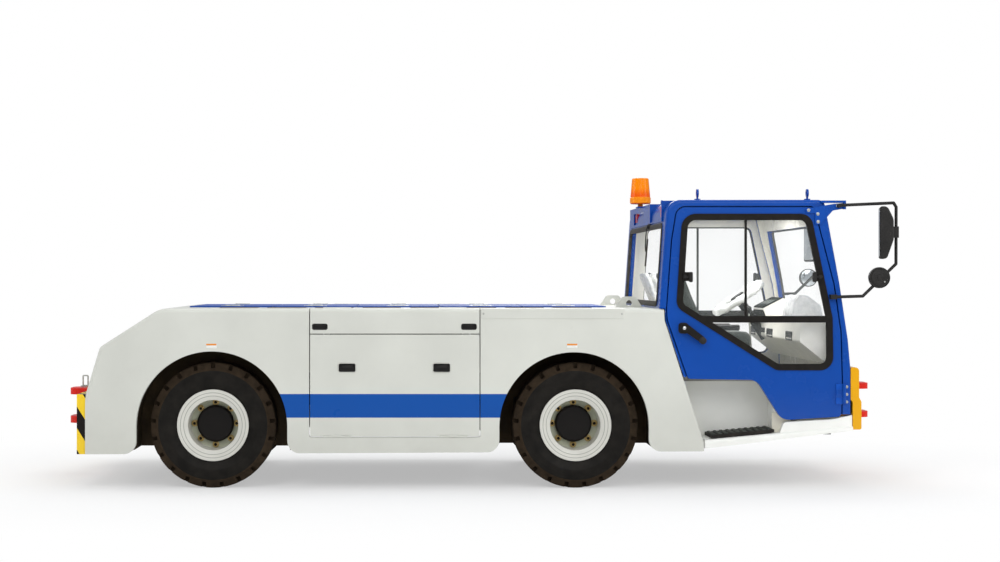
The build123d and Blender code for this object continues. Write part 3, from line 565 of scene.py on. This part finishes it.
def wire(name, points, radius, material):
    """A bent round bar along points."""
    curve = bpy.data.curves.new(name, "CURVE")
    curve.dimensions = "3D"
    curve.bevel_depth = radius * MM
    curve.bevel_resolution = 3
    curve.use_fill_caps = True
    spline = curve.splines.new("POLY")
    spline.points.add(len(points) - 1)
    for point, place in zip(spline.points, points):
        point.co = (*(Vector(place) * MM), 1)
    curve.materials.append(material)
    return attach(linked(name, curve), "chassis")


def dress(material, *names):
    """Give CAD nodes one material."""
    for name in names:
        NODES[name].data.materials.clear()
        NODES[name].data.materials.append(material)


def sided(*stems):
    """Node names of both sides."""
    return [f"{stem}_{side}" for stem in stems for side, _ in SIDES]


def known(name, maker, *details):
    """A material by name, made once."""
    return bpy.data.materials.get(name) or maker(name, *details)


def black_plastic():
    """Black moulded plastic of latches, knobs and housings."""
    return known("black_moulded_plastic", plastic, "#171614", "#262422")


def zinc():
    """Zinc-plated fasteners: bright grey and slightly mottled."""
    return known("zinc_plated_steel", metal, "#A7A8A2", "#C9CAC3")


class TRACTOR_OT_paint(bpy.types.Operator):
    """Give every carried-over piece its finish"""
    bl_idname = "tractor.paint"
    bl_label = "Paint the frame"

    def execute(self, context):
        look = looks()
        dress(lined_enamel("side_lined_enamel"), *sided("cab_side", "door"))
        for node, inward in (("cab_rear", (1, 0, 0)), ("cab_front", (-1, 0, 0)),
                             ("cab_roof", (0, 0, -1))):
            dress(lined_enamel(f"{node}_lined_enamel", inward), node)
        dress(striped_enamel(), *sided("body_side", "hatch"))
        dress(enamel("body_white_enamel", look.body_white), *sided("lid"), "tail_panel",
              "deck_plate", "deck_lugs")
        # the sills get a brighter white than the body's as painted light, lifting the shaded step
        # well
        dress(enamel("sill_white_enamel", "#FBFCF5"), *sided("step_sill"))
        dress(enamel("cab_blue_enamel", look.cab_blue, *CAB_GLOSS), "light_rack", "roof_eyes")
        dress(enamel("cover_blue_enamel", toned(look.cab_blue, 0.9), (0.4, 0.55), 0.01),
              "deck_covers")
        dress(known("arch_liner_polythene", plastic, "#332818", "#443621", (0.65, 0.85)),
              "arch_liners")
        dress(hazard_enamel(), "tail_bumper")
        dress(enamel("nose_yellow_enamel", look.nose_yellow), "nose_bumper")
        dress(enamel("hitch_red_enamel", look.hitch_red, (0.3, 0.45), 0.04), "tow_jaws")
        dress(zinc(), "tow_pins")
        dress(enamel("frame_black_enamel", "#2B2A28", (0.5, 0.7), 0.0), "chassis_frame",
              "front_axle", "rear_axle", "tie_rod", *sided("knuckle"))
        dress(known("engine_cast_iron", metal, "#2E2C2A", "#45423E", (0.6, 0.8), 40), "power_unit")
        for end, wheel_x in WHEELS.items():
            dress(tyre_rubber(f"{end}_tyre_rubber", wheel_x), *sided(f"tyre_{end}"))
            dress(rim_enamel(f"{end}_rim_enamel", wheel_x), *sided(f"rim_{end}"))
        dress(float_glass(), *sided("door_glass"), "cab_glass")
        dress(rubber("gasket_rubber"), *sided("door_trim"))
        dress(rubber("step_rubber", "#1B1916", "#2D2924", 60), "step_treads")
        dress(black_plastic(), "steering_column", *sided("mirror"))
        dress(rubber("floor_mat_rubber", "#8C8A80", "#A19F94", 120), "cab_floor")
        dress(known("dash_moulded_plastic", plastic, "#E9E7DD", "#F3F1E8"), "dashboard")
        dress(known("wheel_polythene_film", film, "#C2C4C1", "#EAEBE8"), "steering_wheel")
        dress(beacon_lens(), "beacon")
        dress(lamp_lens(), "rear_lamps")
        dress(lens("head_lamp_polycarbonate", "#C9CDCD", "#EDF0F0", 14.0).material, "headlamps")
        return {"FINISHED"}


class TRACTOR_OT_wheels(bpy.types.Operator):
    """Build the wheel nuts over their studs"""
    bl_idname = "tractor.wheels"
    bl_label = "Wheel nuts"

    def execute(self, context):
        brass = known("wheel_nut_brass", metal, "#A98F5A", "#C7AF79", (0.3, 0.5), 6)
        stud = known("wheel_stud_black", metal, "#14120F", "#241F1A", (0.5, 0.7), 6)
        size = looks().nut_size / MM
        for end, wheel_x in WHEELS.items():
            for side, out in SIDES:
                bm = bmesh.new()
                axes = FACING[out]
                for count in range(NUT_COUNT):
                    turn = 2 * math.pi / NUT_COUNT * count
                    centre = (wheel_x + NUT_CIRCLE * math.sin(turn), out * HUB_FACE,
                              AXLE_Z + NUT_CIRCLE * math.cos(turn))
                    turning(bm, centre, axes, [(size * 1.3, 0.2), (size * 1.3, 4), (size, 5)])
                    turning(bm, centre, axes, [(size, 4), (size, 24.5), (size * 0.85, 27),
                                               (size * 0.62, 27)], 0, 6, (True, False))
                    turning(bm, centre, axes, [(size * 0.62, 27), (size * 0.6, 24.6)], 1, 12)
                piece(f"wheel_nuts_{end}_{side}", bm, [brass, stud], f"wheel_{end}_{side}")
        return {"FINISHED"}


class TRACTOR_OT_side_fittings(bpy.types.Operator):
    """Build the lid grips, hatch latches, edge strips and blank plates"""
    bl_idname = "tractor.side_fittings"
    bl_label = "Side fittings"

    def execute(self, context):
        strip = enamel("edge_strip_enamel", toned(looks().body_white, 0.97), (0.25, 0.35), 0.06)
        ivory = known("latch_frame_plastic", plastic, "#BDBDB4", "#D2D2CA")
        plate = enamel("blank_plate_enamel", "#F1F1EC")
        orange = enamel("blank_plate_orange_enamel", "#E8933A")
        for side, out in SIDES:
            face, axes = SIDE_FACE * out, FACING[out]
            bm = bmesh.new()
            for x in (-987, -31):
                pad(bm, (x, face, 1043), axes, (94, 34), 10, [
                    (3, 0.2), (3, 1.5), (1.5, 2.5), (-1, 2.5), (-3, 1), (-4, -9), (-4, -11.5)],
                    0, (False, True))
                pad(bm, (x, face, 1050), axes, (70, 9), 4, [(0, -9.5), (0, -1.5), (-1.5, 0)])
            piece(f"lid_grips_{side}", bm, [black_plastic()], f"lid_{side}")
            bm = bmesh.new()
            for x in (-813, -206):
                recess = (bm, (x, face, 780), axes, (109, 55), 10)
                pad(*recess, [(7, 0.2), (7, 2), (5.5, 3.2), (1, 3.2), (-1, 1)], 1,
                    (False, False))
                pad(*recess, [(-1, 1), (-2, -12), (-4, -17), (-4, -17.8)], 0,
                    (False, True))
                pad(bm, (x, face, 788), axes, (72, 22), 8, [(0, -17), (0, -6), (-2, -4)])
            piece(f"hatch_latches_{side}", bm, [black_plastic(), ivory], f"hatch_{side}")
            bm = bmesh.new()
            pad(bm, (506, face, 1126), axes, (915, 64), 4, [(0, 0.2), (0, 2.4), (-1.2, 3.4)])
            for x in (62, 951):
                turning(bm, (x, face, 1126), axes, [(7, 3.2), (6.4, 4.6), (3.5, 5.2)], 1, 16)
            piece(f"edge_strip_{side}", bm, [strip, zinc()])
            bm = bmesh.new()
            for x in (-1683, 631):
                pad(bm, (x, face, 921), axes, (68, 28), 2, [(0, 0.2), (0, 1.4), (-0.6, 1.8)])
                pad(bm, (x, face, 929), axes, (66, 11), 1, [(0, 1.6), (0, 2.1), (-0.4, 2.3)], 1)
            piece(f"blank_plates_{side}", bm, [plate, orange])
        return {"FINISHED"}


class TRACTOR_OT_deck(bpy.types.Operator):
    """Lay the walkway strips and the cover grips on the deck"""
    bl_idname = "tractor.deck"
    bl_label = "Deck fittings"

    def execute(self, context):
        grip = known("cover_grip_aluminium", metal, "#B4B6B2", "#D0D2CE", (0.3, 0.45), 25)
        for side, out in SIDES:
            bm = bmesh.new()
            for count in range(8):
                pad(bm, (-1530 + 312 * count, out * 700, DECK_TOP), UPWARD, (250, 210), 14,
                    [(0, 0.2), (0, 1.8), (-1, 2.4)])
            piece(f"walkway_strips_{side}", bm, [known("grit_strip", grit)])
        bm = bmesh.new()
        for count in range(5):
            for across in (-380, 380):
                centre = (-1885 + 558 * (count + 0.5), across, COVER_TOP)
                pad(bm, centre, UPWARD, (150, 50), 12, [
                    (3, 0), (3, 1.6), (0, 2.4), (-3, 1.8), (-5, 0.4)])
                pad(bm, centre, UPWARD, (104, 12), 5, [(0, 0.4), (0, 5), (-2, 7)])
        piece("cover_grips", bm, [grip])
        return {"FINISHED"}


def door_hardware(side, out):
    """Roof strap bolts, the lock and hand pull, and the sliding panes' latches."""
    chrome = known("lock_button_chrome", metal, "#C8CACB", "#E2E4E5", (0.08, 0.16), 20)
    axes, strap, lock, pane = FACING[out], out * 1014, out * 1048, out * 1026
    bm = bmesh.new()
    for x, z in ((2145, 1790), (2204, 1766), (2206, 1716), (2330, 1818)):
        bolt(bm, (x, strap, z), axes, 7, 1)
    pad(bm, (1344, out * SIDE_FACE, 1034), axes, (64, 70), 20, [(0, 0.2), (0, 6), (-4, 9)])
    turning(bm, (1344, lock, 1036), axes, [(15, -1), (15, 3), (12, 4), (12, 2.5)])
    turning(bm, (1344, lock, 1036), axes, [(10.5, 0), (10.5, 4), (9, 5)], 2, 20)
    fallen = (Vector((0.79, 0, -0.61)), Vector((0.61, 0, 0.79)), Y * out)
    pad(bm, (1462, lock, 956), fallen, (46, 44), 18, [(0, -20), (0, 1), (-6, 5)])
    for x, way in ((1388, -1), (2180, 1)):
        pad(bm, (x, pane, 1362), axes, (24, 66), 9, [(0, -1), (0, 10), (-4, 14)])
        pad(bm, (x + way * 28, pane, 1364), axes, (34, 13), 5, [(0, -1), (0, 7), (-2, 9)])
        turning(bm, (x + way * 36, pane, 1364), axes, [(13, -1), (13, 9), (10, 12)], 0, 20)
    piece(f"door_hardware_{side}", bm, [black_plastic(), zinc(), chrome], f"door_{side}")


def door_hinge(side, out):
    """The hinge's bolts on the pillar and its leaf on the door."""
    leaf = known("hinge_blue_enamel", enamel, toned(looks().cab_blue, 1.3), (0.2, 0.3), 0.1)
    bm = bmesh.new()
    for z in (562, 610, 658):
        bolt(bm, (2391, out * 1008, z), FACING[out], 6)
    piece(f"hinge_bolts_{side}", bm, [zinc()])
    bm = bmesh.new()
    pad(bm, (2344, out * SIDE_FACE, 612), FACING[out], (44, 131), 5, [
        (0, 0.2), (0, 6), (-2, 8)])
    piece(f"hinge_leaf_{side}", bm, [leaf], f"door_{side}")


def mirror_faces(side, out):
    """The glass of the tall and the round mirror, and the round one's back."""
    # silvered glass gives a clean bright reflection with a faint dust film
    silvered = known("mirror_silvered_glass", metal, "#C9CFD2", "#DDE2E4", (0.03, 0.07), 60)
    x, z = ROUND_MIRROR
    angle = math.radians(12)
    back = Vector((-math.cos(angle), -out * math.sin(angle), 0))
    along = Vector((-back.y, back.x, 0))
    bm = bmesh.new()
    pad(bm, (2630.5, out * 1055, 1644), (along, Z, back), (164, 300), 18, [
        (0, 43.0), (0, 44.2), (-1, 44.6)])
    turning(bm, (x, out * 1040, z), FACING[-out], [(60, 0.2), (60, 2), (57, 2.8)], 0, 40)
    piece(f"mirror_glass_{side}", bm, [silvered], f"door_{side}")
    bm = bmesh.new()
    turning(bm, (x, out * 1070, z), FACING[out], [
        (58, 0.2), (52, 6), (20, 10), (16, 14), (10, 15)], 0, 32)
    bolt(bm, (x + 30, out * 1074, z - 26), FACING[out], 6, 1)
    piece(f"round_mirror_back_{side}", bm, [black_plastic(), zinc()], f"door_{side}")


class TRACTOR_OT_doors(bpy.types.Operator):
    """Build the door bolts, lock, hand pull, window latches, hinge leaves and mirror faces"""
    bl_idname = "tractor.doors"
    bl_label = "Door fittings"

    def execute(self, context):
        for side, out in SIDES:
            door_hardware(side, out)
            door_hinge(side, out)
            mirror_faces(side, out)
        return {"FINISHED"}


def on_line(place, start, end):
    """The value at a place on a straight line between two points."""
    return start[1] + (end[1] - start[1]) * (place - start[0]) / (end[0] - start[0])


class TRACTOR_OT_steps(bpy.types.Operator):
    """Build the ribs of the steps and the gusset below each door"""
    bl_idname = "tractor.steps"
    bl_label = "Step ribs"

    def execute(self, context):
        ribs = looks().tread_ribs
        cream = enamel("gusset_cream_enamel", "#E4E0CF")
        rib_rubber = rubber("rib_rubber", "#3E423D", "#565B55", 20)
        for side, out in SIDES:
            bm = bmesh.new()
            for count in range(ribs):
                x = on_line(count, (0, 1545), (ribs - 1, 1910))
                z = on_line(x, (1361, 312), (1952, 366)) + 20
                pad(bm, (x, out * 852, z), (X + Z * 0.0914, Y, Z), (20, 236), 4,
                    [(0, -0.5), (0, 4), (-3, 6)])
            piece(f"step_ribs_{side}", bm, [rib_rubber])
            bm = bmesh.new()
            pad(bm, (1985, out * 930, 425), FACING[out], (120, 130), 6, [(0, -3), (0, 0), (-1, 1)])
            piece(f"sill_gusset_{side}", bm, [cream])
        return {"FINISHED"}


def rear_slope(z):
    """Place along X of the cab's outer rear face at a height."""
    return on_line(z, (1160, 1192), (1858, 1240))


def front_slope(z):
    """Place along X of the cab's outer front face at a height, bent below the windscreen."""
    bend = (1327, 2348)
    if z > bend[0]:
        return on_line(z, bend, (1858, 2250))
    return on_line(z, (960, 2403), bend)


def leaned(bm, slope):
    """Lay points made about X = 0 onto a sloping face."""
    for vert in bm.verts:
        vert.co.x += slope(vert.co.z / MM) * MM


class TRACTOR_OT_cab_outside(bpy.types.Operator):
    """Build the window gaskets, wipers and lamp bezels"""
    bl_idname = "tractor.cab_outside"
    bl_label = "Cab outside"

    def execute(self, context):
        seal = rubber("window_seal_rubber", "#3A3732", "#4F4B45", 40)
        black = black_plastic()
        for name, slope, axes, half, low, high in (
            ("rear", rear_slope, REARWARD, 850, 1195, 1690),
            ("front", front_slope, FORWARD, 860, 1010, 1700),
        ):
            bm = bmesh.new()
            pad(bm, (0, 0, (low + high) / 2), axes, (2 * half, high - low), 40, [
                (24, 0.3), (24, 5), (19, 8), (4, 8), (-9, 5), (-10, -12)], 0, (False, False), 8)
            bmesh.ops.subdivide_edges(bm, edges=[
                edge for edge in bm.edges
                if abs(edge.verts[0].co.z - edge.verts[1].co.z) > 0.3], cuts=12,
                use_grid_fill=True)
            leaned(bm, slope)
            piece(f"{name}_window_seal", bm, [seal])
        for name, slope, sign, posts in (
            ("rear", rear_slope, -1, [(-260, 1706, (0.12, -0.99), 170)]),
            ("front", front_slope, 1, [(-120, 985, (-0.97, 0.16), 330),
                                       (640, 985, (-0.97, 0.16), 330)]),
        ):
            for number, (y, z, (run, rise), reach) in enumerate(posts):
                bm = bmesh.new()
                turning(bm, (slope(z), y, z), (Y, Z, sign * X), [
                    (20, 0.3), (20, 12), (13, 22), (8, 26)], 0, 20)
                piece(f"{name}_wiper_post_{number}", bm, [black])
                line = [(step * reach * run + y, step * reach * rise + z)
                        for step in (0, 0.15, 0.5, 0.8, 1.0, 1.3, 1.6)]
                wire(f"{name}_wiper_arm_{number}", [
                    (slope(b) + sign * off, a, b)
                    for (a, b), off in zip(line[:5], (20, 26, 26, 24, 20))], 4, black)
                wire(f"{name}_wiper_blade_{number}", [
                    (slope(b) + sign * 13, a, b) for a, b in line[2:]], 6, seal)
        chrome = known("lamp_bezel_chrome", metal, "#C4C7C8", "#E0E2E3", (0.08, 0.18), 20)
        for side, out in SIDES:
            bm = bmesh.new()
            pad(bm, (LAMP_X, out * 730, LAMP_Z), FORWARD, (220, 100), 16, [
                (7, 1), (7, 12), (4, 15), (-3, 15), (-5, 12)], 0, (False, False))
            for shift in (-52, 52):
                turning(bm, (LAMP_X, out * 730 + shift, LAMP_Z), FORWARD, [
                    (43, 11), (43, 14), (40, 15.5), (36, 15), (22, 13), (9, 12.4)], 0, 32,
                    (False, False))
            piece(f"head_lamp_bezels_{side}", bm, [chrome])
        return {"FINISHED"}


def swell(made, frames=20):
    """Let the cloth solver puff a closed skin, no further than the cushion puff."""
    scene = bpy.context.scene
    start = [vert.co.copy() for vert in made.data.vertices]
    filling = made.modifiers.new("filling", "CLOTH")
    filling.settings.quality = 5
    filling.settings.use_pressure = True
    filling.settings.uniform_pressure_force = 4
    filling.settings.effector_weights.gravity = 0
    for number in range(1, frames + 1):
        scene.frame_set(number)
    graph = bpy.context.evaluated_depsgraph_get()
    swelled = [vert.co.copy() for vert in made.evaluated_get(graph).data.vertices]
    made.modifiers.clear()
    scene.frame_set(1)
    most = looks().cushion_puff
    for vert, old, new in zip(made.data.vertices, start, swelled):
        move = new - old
        vert.co = old + move * min(1, most / move.length if move.length else 1)


def stuffed(name, material, centre, axes, size, thick, channels):
    """A seat cushion: a smaller pad swelled by cloth, then sewn along its channels."""
    voxel, edge, seam_width, seam_depth = 9 * MM, 6, 7 * MM, 11 * MM
    bm = bmesh.new()
    low, high = -thick / 2, thick / 2
    pad(bm, (0, 0, 0), UPWARD, (size[0] - 16, size[1] - 16), 46, [
        (-22, low), (-8, low + 8), (0, low + 26), (0, high - 26), (-8, high - 8), (-22, high)],
        0, (True, True), 6)
    made = linked(name, mesh_of(name, bm))
    voxels = made.modifiers.new("voxels", "REMESH")
    voxels.mode = "VOXEL"
    voxels.voxel_size = voxel
    graph = bpy.context.evaluated_depsgraph_get()
    made.data = bpy.data.meshes.new_from_object(made.evaluated_get(graph))
    made.modifiers.clear()
    swell(made)
    reach = [(size[0] / 2 + edge) * MM, (size[1] / 2 + edge) * MM, (high + 2 * edge) * MM]
    for vert in made.data.vertices:
        if vert.co.z > 0:
            vert.co.z -= seam_depth * min(1, sum(
                math.exp(-((vert.co.x - place * MM) / seam_width) ** 2) for place in channels))
        kept = [max(-most, min(most, part)) for most, part in zip(reach, vert.co)]
        vert.co = Vector(centre) * MM + sum(
            (axis * part for axis, part in zip(axes, kept)), Vector((0, 0, 0)))
    made.data.materials.append(material)
    made.data.shade_smooth()
    made.modifiers.new("smoother", "SUBSURF").levels = 1
    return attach(made, "chassis")


class TRACTOR_OT_seats(bpy.types.Operator):
    """Build both seats: bellows base, stuffed cushion and stuffed back"""
    bl_idname = "tractor.seats"
    bl_label = "Seats"

    def execute(self, context):
        dark = known("seat_woven_cloth", cloth, "#2B322C", "#454D46")
        wrapped = known("seat_polythene_film", film, "#D2D3CF", "#F2F2EF")
        bellows = rubber("bellows_rubber", "#191816", "#292724", 50)
        up = Vector((-0.373, 0, 0.928))
        ahead = Vector((0.928, 0, 0.373))
        for (name, out), cover in zip(SIDES, (dark, wrapped)):
            y = out * SEAT_ACROSS
            stuffed(f"seat_cushion_{name}", cover, (1650, y, 938), (Y, X, Z), (452, 440), 100,
                    (-105, 105))
            stuffed(f"seat_back_{name}", cover, (1404, y, 1212), (Y, up, ahead), (440, 420), 92,
                    (-95, 95))
            bm = bmesh.new()
            pad(bm, (1650, y, CAB_FLOOR), UPWARD, (300, 330), 40, [
                (0, 0), (0, 24), (-14, 38), (0, 52), (-14, 66), (0, 80), (-14, 94), (0, 108),
                (0, 130), (40, 142), (40, 176)])
            pad(bm, (1340, y, 1212), (Y, up, -ahead), (380, 380), 50, [
                (0, -14), (0, 6), (-12, 14)], 1)
            piece(f"seat_base_{name}", bm, [bellows, cover], "chassis")
            bm = bmesh.new()
            inner = y - out * 262
            pad(bm, (1715, inner, 1016), UPWARD, (270, 56), 24, [
                (-8, -20), (0, -12), (0, 12), (-8, 20)])
            pad(bm, (1560, inner, 1010), (X, Z, Y), (60, 40), 14, [(0, -12), (0, 12)])
            piece(f"arm_rest_{name}", bm, [black_plastic()])
        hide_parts("seats")
        return {"FINISHED"}


def sleeve(bm, axes, rounds=72, steps=16, rim_radius=186, loose=25):
    """A creased film sleeve round the steering wheel's rim."""
    u, v, axis = axes
    loops = []
    for count in range(rounds):
        turn = 2 * math.pi * count / rounds
        out = u * math.cos(turn) + v * math.sin(turn)
        loop = []
        for step in range(steps):
            lean = 2 * math.pi * step / steps
            thick = loose + 4 * math.sin(turn * 9 + lean * 2) + 3 * math.sin(turn * 23 - lean * 3)
            loop.append(bm.verts.new((WHEEL_HUB + out * (
                rim_radius + thick * math.cos(lean)) + axis * thick * math.sin(lean)) * MM))
        loops.append(loop)
    skinned(bm, loops + loops[:1], 0, (False, False))


def tilted(run, rise):
    """Axes across the cab, up a slope that runs and rises, and out of it."""
    return Y, Vector((run, 0, rise)), Vector((-rise, 0, run))


def dash_fittings():
    """The display with its dials, the film-wrapped set, and the air vents and switches."""
    glassy = known("display_screen", plastic, "#0E1712", "#17221C", (0.7, 0.85), 60, 0.02)
    rim = known("display_rim_plastic", plastic, "#14130F", "#1E1C18", (0.7, 0.85), 3, 0.04)
    needle = known("dial_face_plastic", plastic, "#3E4A42", "#56645A")
    screen, slope = Vector((2167, 450, 1178)), tilted(0.888, 0.46)
    bm = bmesh.new()
    pad(bm, screen, slope, (376, 154), 14, [(0, 0.5), (0, 5), (-4, 8), (-8, 6)])
    pad(bm, screen, slope, (352, 132), 8, [(0, 5.5), (-1, 6.8)], 1)
    pad(bm, (2111, 450, 1098), tilted(-0.351, 0.936), (372, 66), 8, [(0, 0.5), (0, 4), (-2, 6)])
    for shift in (-100, 0, 100):
        turning(bm, screen + Y * shift, slope, [(36, 6.9), (36, 8), (34, 8.6), (32, 8.2)], 2, 28)
    piece("instrument_display", bm, [rim, glassy, needle])
    bm = bmesh.new()
    wedge(bm, [(2112, 1099), (2126, 1196), (2160, 1244), (2216, 1240), (2304, 1176),
               (2322, 1099)], (-652, -330), 9)
    piece("wrapped_radio", bm, [known("radio_polythene_film", film, "#E2E4E4", "#FAFAFA")])
    bm = bmesh.new()
    for y in (-560, 104, 740):
        pad(bm, (2113, y, 972), REARWARD, (200, 60), 10, [(0, -2), (0, 4), (-4, 6), (-8, 2)])
        for row in range(4):
            pad(bm, (2113, y, 951 + row * 14), REARWARD, (176, 4), 2, [(0, 1), (0, 4), (-1, 5)])
    for count in range(6):
        pad(bm, (2116, 300 + count * 34, 985), REARWARD, (24, 36), 4, [
            (0, -2), (0, 4), (-3, 9)])
    piece("dash_vents", bm, [black_plastic()])


def driver_controls():
    """The gear lever in its boot, the pedals, and the steering wheel's boss and sleeve."""
    black = black_plastic()
    bm = bmesh.new()
    turning(bm, (1990, 120, CAB_FLOOR), UPWARD, [
        (52, 0), (52, 12), (40, 30), (46, 42), (30, 60), (36, 72), (16, 100)], 0, 28)
    turning(bm, (1968, 120, 1120), UPWARD, [
        (9, -14), (17, 0), (21, 14), (20, 28), (12, 38), (4, 41)])
    piece("gear_lever_boot_and_knob", bm, [black])
    wire("gear_lever_rod", [(1990, 120, 790), (1982, 120, 900), (1968, 120, 1112)], 6, zinc())
    bm = bmesh.new()
    for y in (330, 560):
        pad(bm, (2262, y, 560), tilted(-0.55, 0.835), (78, 110), 12, [(0, 0), (0, 8), (-3, 11)])
        pad(bm, (2310, y, 520), UPWARD, (30, 30), 4, [(0, -58), (0, 60), (-4, 66)])
    piece("pedals", bm, [black])
    bm = bmesh.new()
    wheel_axes = tilted(0.829, 0.559)
    turning(bm, WHEEL_HUB, wheel_axes, [(52, 6), (52, 18), (46, 24), (20, 27)], 0, 32)
    piece("steering_wheel_boss", bm, [black], "steering_wheel")
    bm = bmesh.new()
    sleeve(bm, wheel_axes)
    piece("steering_wheel_film", bm, [film("sleeve_polythene_film", "#CDCFCC", "#F2F3F1")],
          "steering_wheel")


class TRACTOR_OT_cab_inside(bpy.types.Operator):
    """Build the roof lining, dashboard fittings, lever and pedals"""
    bl_idname = "tractor.cab_inside"
    bl_label = "Cab inside"

    def execute(self, context):
        bm = bmesh.new()
        pad(bm, (1760, 0, 1817.5), (X, Y, -Z), (800, 1780), 30, [(0, 0), (0, 6), (-10, 12)])
        lining = known("roof_lining_felt", cloth, "#E4E1D6", "#F0EEE4", 6.0)
        piece("roof_lining", bm, [lining])
        dash_fittings()
        driver_controls()
        return {"FINISHED"}


def white_world():
    """White behind the part, and a softer bluish light on it."""
    world = bpy.data.worlds.new("studio_world")
    bpy.context.scene.world = world
    world.use_nodes = True
    tree = world.node_tree
    tree.nodes.clear()
    path = add_node(tree, "LightPath")
    seen = add_node(tree, "Math", {"operation": "MAXIMUM"}, i0=path.outputs["Is Camera Ray"],
                    i1=path.outputs["Is Transmission Ray"])
    soft = add_node(tree, "Background", {"Color": (0.93, 0.95, 1.0, 1.0), "Strength": 0.5})
    plain = add_node(tree, "Background", {"Color": (1, 1, 1, 1), "Strength": 1.0})
    mix = add_node(tree, "MixShader", i0=seen.outputs[0], i1=soft.outputs[0],
                   i2=plain.outputs[0])
    add_node(tree, "OutputWorld", Surface=mix.outputs[0])


def studio_floor():
    """A matt floor that turns plain white past the object's shadow."""
    mesh = bpy.data.meshes.new("floor")
    mesh.from_pydata([(-40, -20, 0), (40, -20, 0), (40, 60, 0), (-40, 60, 0)], [],
                     [(0, 1, 2, 3)])
    material = bpy.data.materials.new("studio_floor")
    material.use_nodes = True
    tree = material.node_tree
    tree.nodes.clear()
    matt = add_node(tree, "BsdfDiffuse", {"Color": linear("#F2F2F1")})
    glow = add_node(tree, "Emission", {"Color": (1, 1, 1, 1), "Strength": 1.0})
    # the shadow lies within 2 m of the object, which is longer than it is wide
    place = add_node(tree, "VectorMath", {"operation": "MULTIPLY", 1: (0.62, 1, 1)},
                     i0=add_node(tree, "TexCoord").outputs["Object"])
    away = add_node(tree, "VectorMath", {"operation": "LENGTH"}, i0=place.outputs[0])
    clear = add_node(tree, "MapRange", {
        "From Min": 1.5, "From Max": 3.6, "To Min": 0.45, "To Max": 1.0,
        "interpolation_type": "SMOOTHSTEP"}, Value=away.outputs["Value"])
    white = add_node(tree, "Math", {"operation": "MULTIPLY"}, i1=clear.outputs[0],
                     i0=add_node(tree, "LightPath").outputs["Is Camera Ray"])
    mix = add_node(tree, "MixShader", i0=white.outputs[0], i1=matt.outputs[0],
                   i2=glow.outputs[0])
    add_node(tree, "OutputMaterial", Surface=mix.outputs[0])
    mesh.materials.append(material)
    linked("floor", mesh)


def studio_lights():
    """Soft disks round the part, and a small one in the cab that shines down."""
    for name, place, size, power in (
        ("key_light", (-3.5, -8.5, 7.0), 5.0, 200),
        ("fill_light", (3.0, -8.5, 5.0), 5.0, 175),
        ("front_light", (7.5, -3.0, 4.0), 4.0, 130),
        ("top_light", (0.0, 1.0, 8.5), 7.0, 205),
        ("back_light", (1.0, 9.0, 6.0), 5.0, 260),
        ("tail_light", (-8.5, 1.0, 4.0), 4.0, 130),
        ("cab_light", (1.75, 0.0, 1.78), 0.7, 13),
    ):
        light = bpy.data.lights.new(name, "AREA")
        light.shape = "DISK"
        light.size = size
        light.energy = power
        holder = linked(name, light)
        holder.location = place
        target = (place[0] if name == "cab_light" else 0, 0, 0.8)
        aim = Vector(target) - Vector(place)
        holder.rotation_euler = aim.to_track_quat("-Z", "Y").to_euler()


class TRACTOR_OT_stage(bpy.types.Operator):
    """Set the floor, the lights and the camera of the photograph's view"""
    bl_idname = "tractor.stage"
    bl_label = "Set the stage"

    def execute(self, context):
        scene = context.scene
        scene.view_settings.view_transform = "Standard"
        white_world()
        studio_floor()
        studio_lights()
        view = bpy.data.cameras.new("photo_camera")
        view.lens = 66.8
        view.sensor_width = 36
        view.shift_x = 0.09
        view.shift_y = -0.0027
        view.clip_end = 200
        holder = linked("photo_camera", view)
        holder.location = (-0.409, -12.9, 1.354)
        holder.rotation_euler = (math.pi / 2, 0, 0)
        scene.camera = holder
        return {"FINISHED"}


OPERATORS = (TRACTOR_OT_paint, TRACTOR_OT_wheels, TRACTOR_OT_side_fittings, TRACTOR_OT_deck,
             TRACTOR_OT_doors, TRACTOR_OT_steps, TRACTOR_OT_cab_outside, TRACTOR_OT_seats,
             TRACTOR_OT_cab_inside, TRACTOR_OT_stage)


class TRACTOR_PT_panel(bpy.types.Panel):
    """The tractor's sizes, colours and pieces"""
    bl_idname = "TRACTOR_PT_panel"
    bl_label = "Tow Tractor"
    bl_space_type = "VIEW_3D"
    bl_region_type = "UI"
    bl_category = "Tractor"

    def draw(self, context):
        for name in TractorLooks.__annotations__:
            self.layout.prop(context.scene.tractor_looks, name)
        for operator in OPERATORS:
            self.layout.operator(operator.bl_idname)


CLASSES = (TractorLooks, *OPERATORS, TRACTOR_PT_panel)


def register():
    """Register the classes and their settings."""
    for item in CLASSES:
        bpy.utils.register_class(item)
    bpy.types.Scene.tractor_looks = PointerProperty(type=TractorLooks)


def unregister():
    """Take the classes and settings away."""
    del bpy.types.Scene.tractor_looks
    for item in reversed(CLASSES):
        bpy.utils.unregister_class(item)


def main():
    """Build every piece in order."""
    register()
    for operator in OPERATORS:
        group, name = operator.bl_idname.split(".")
        getattr(getattr(bpy.ops, group), name)()


if __name__ == "__main__":
    main()
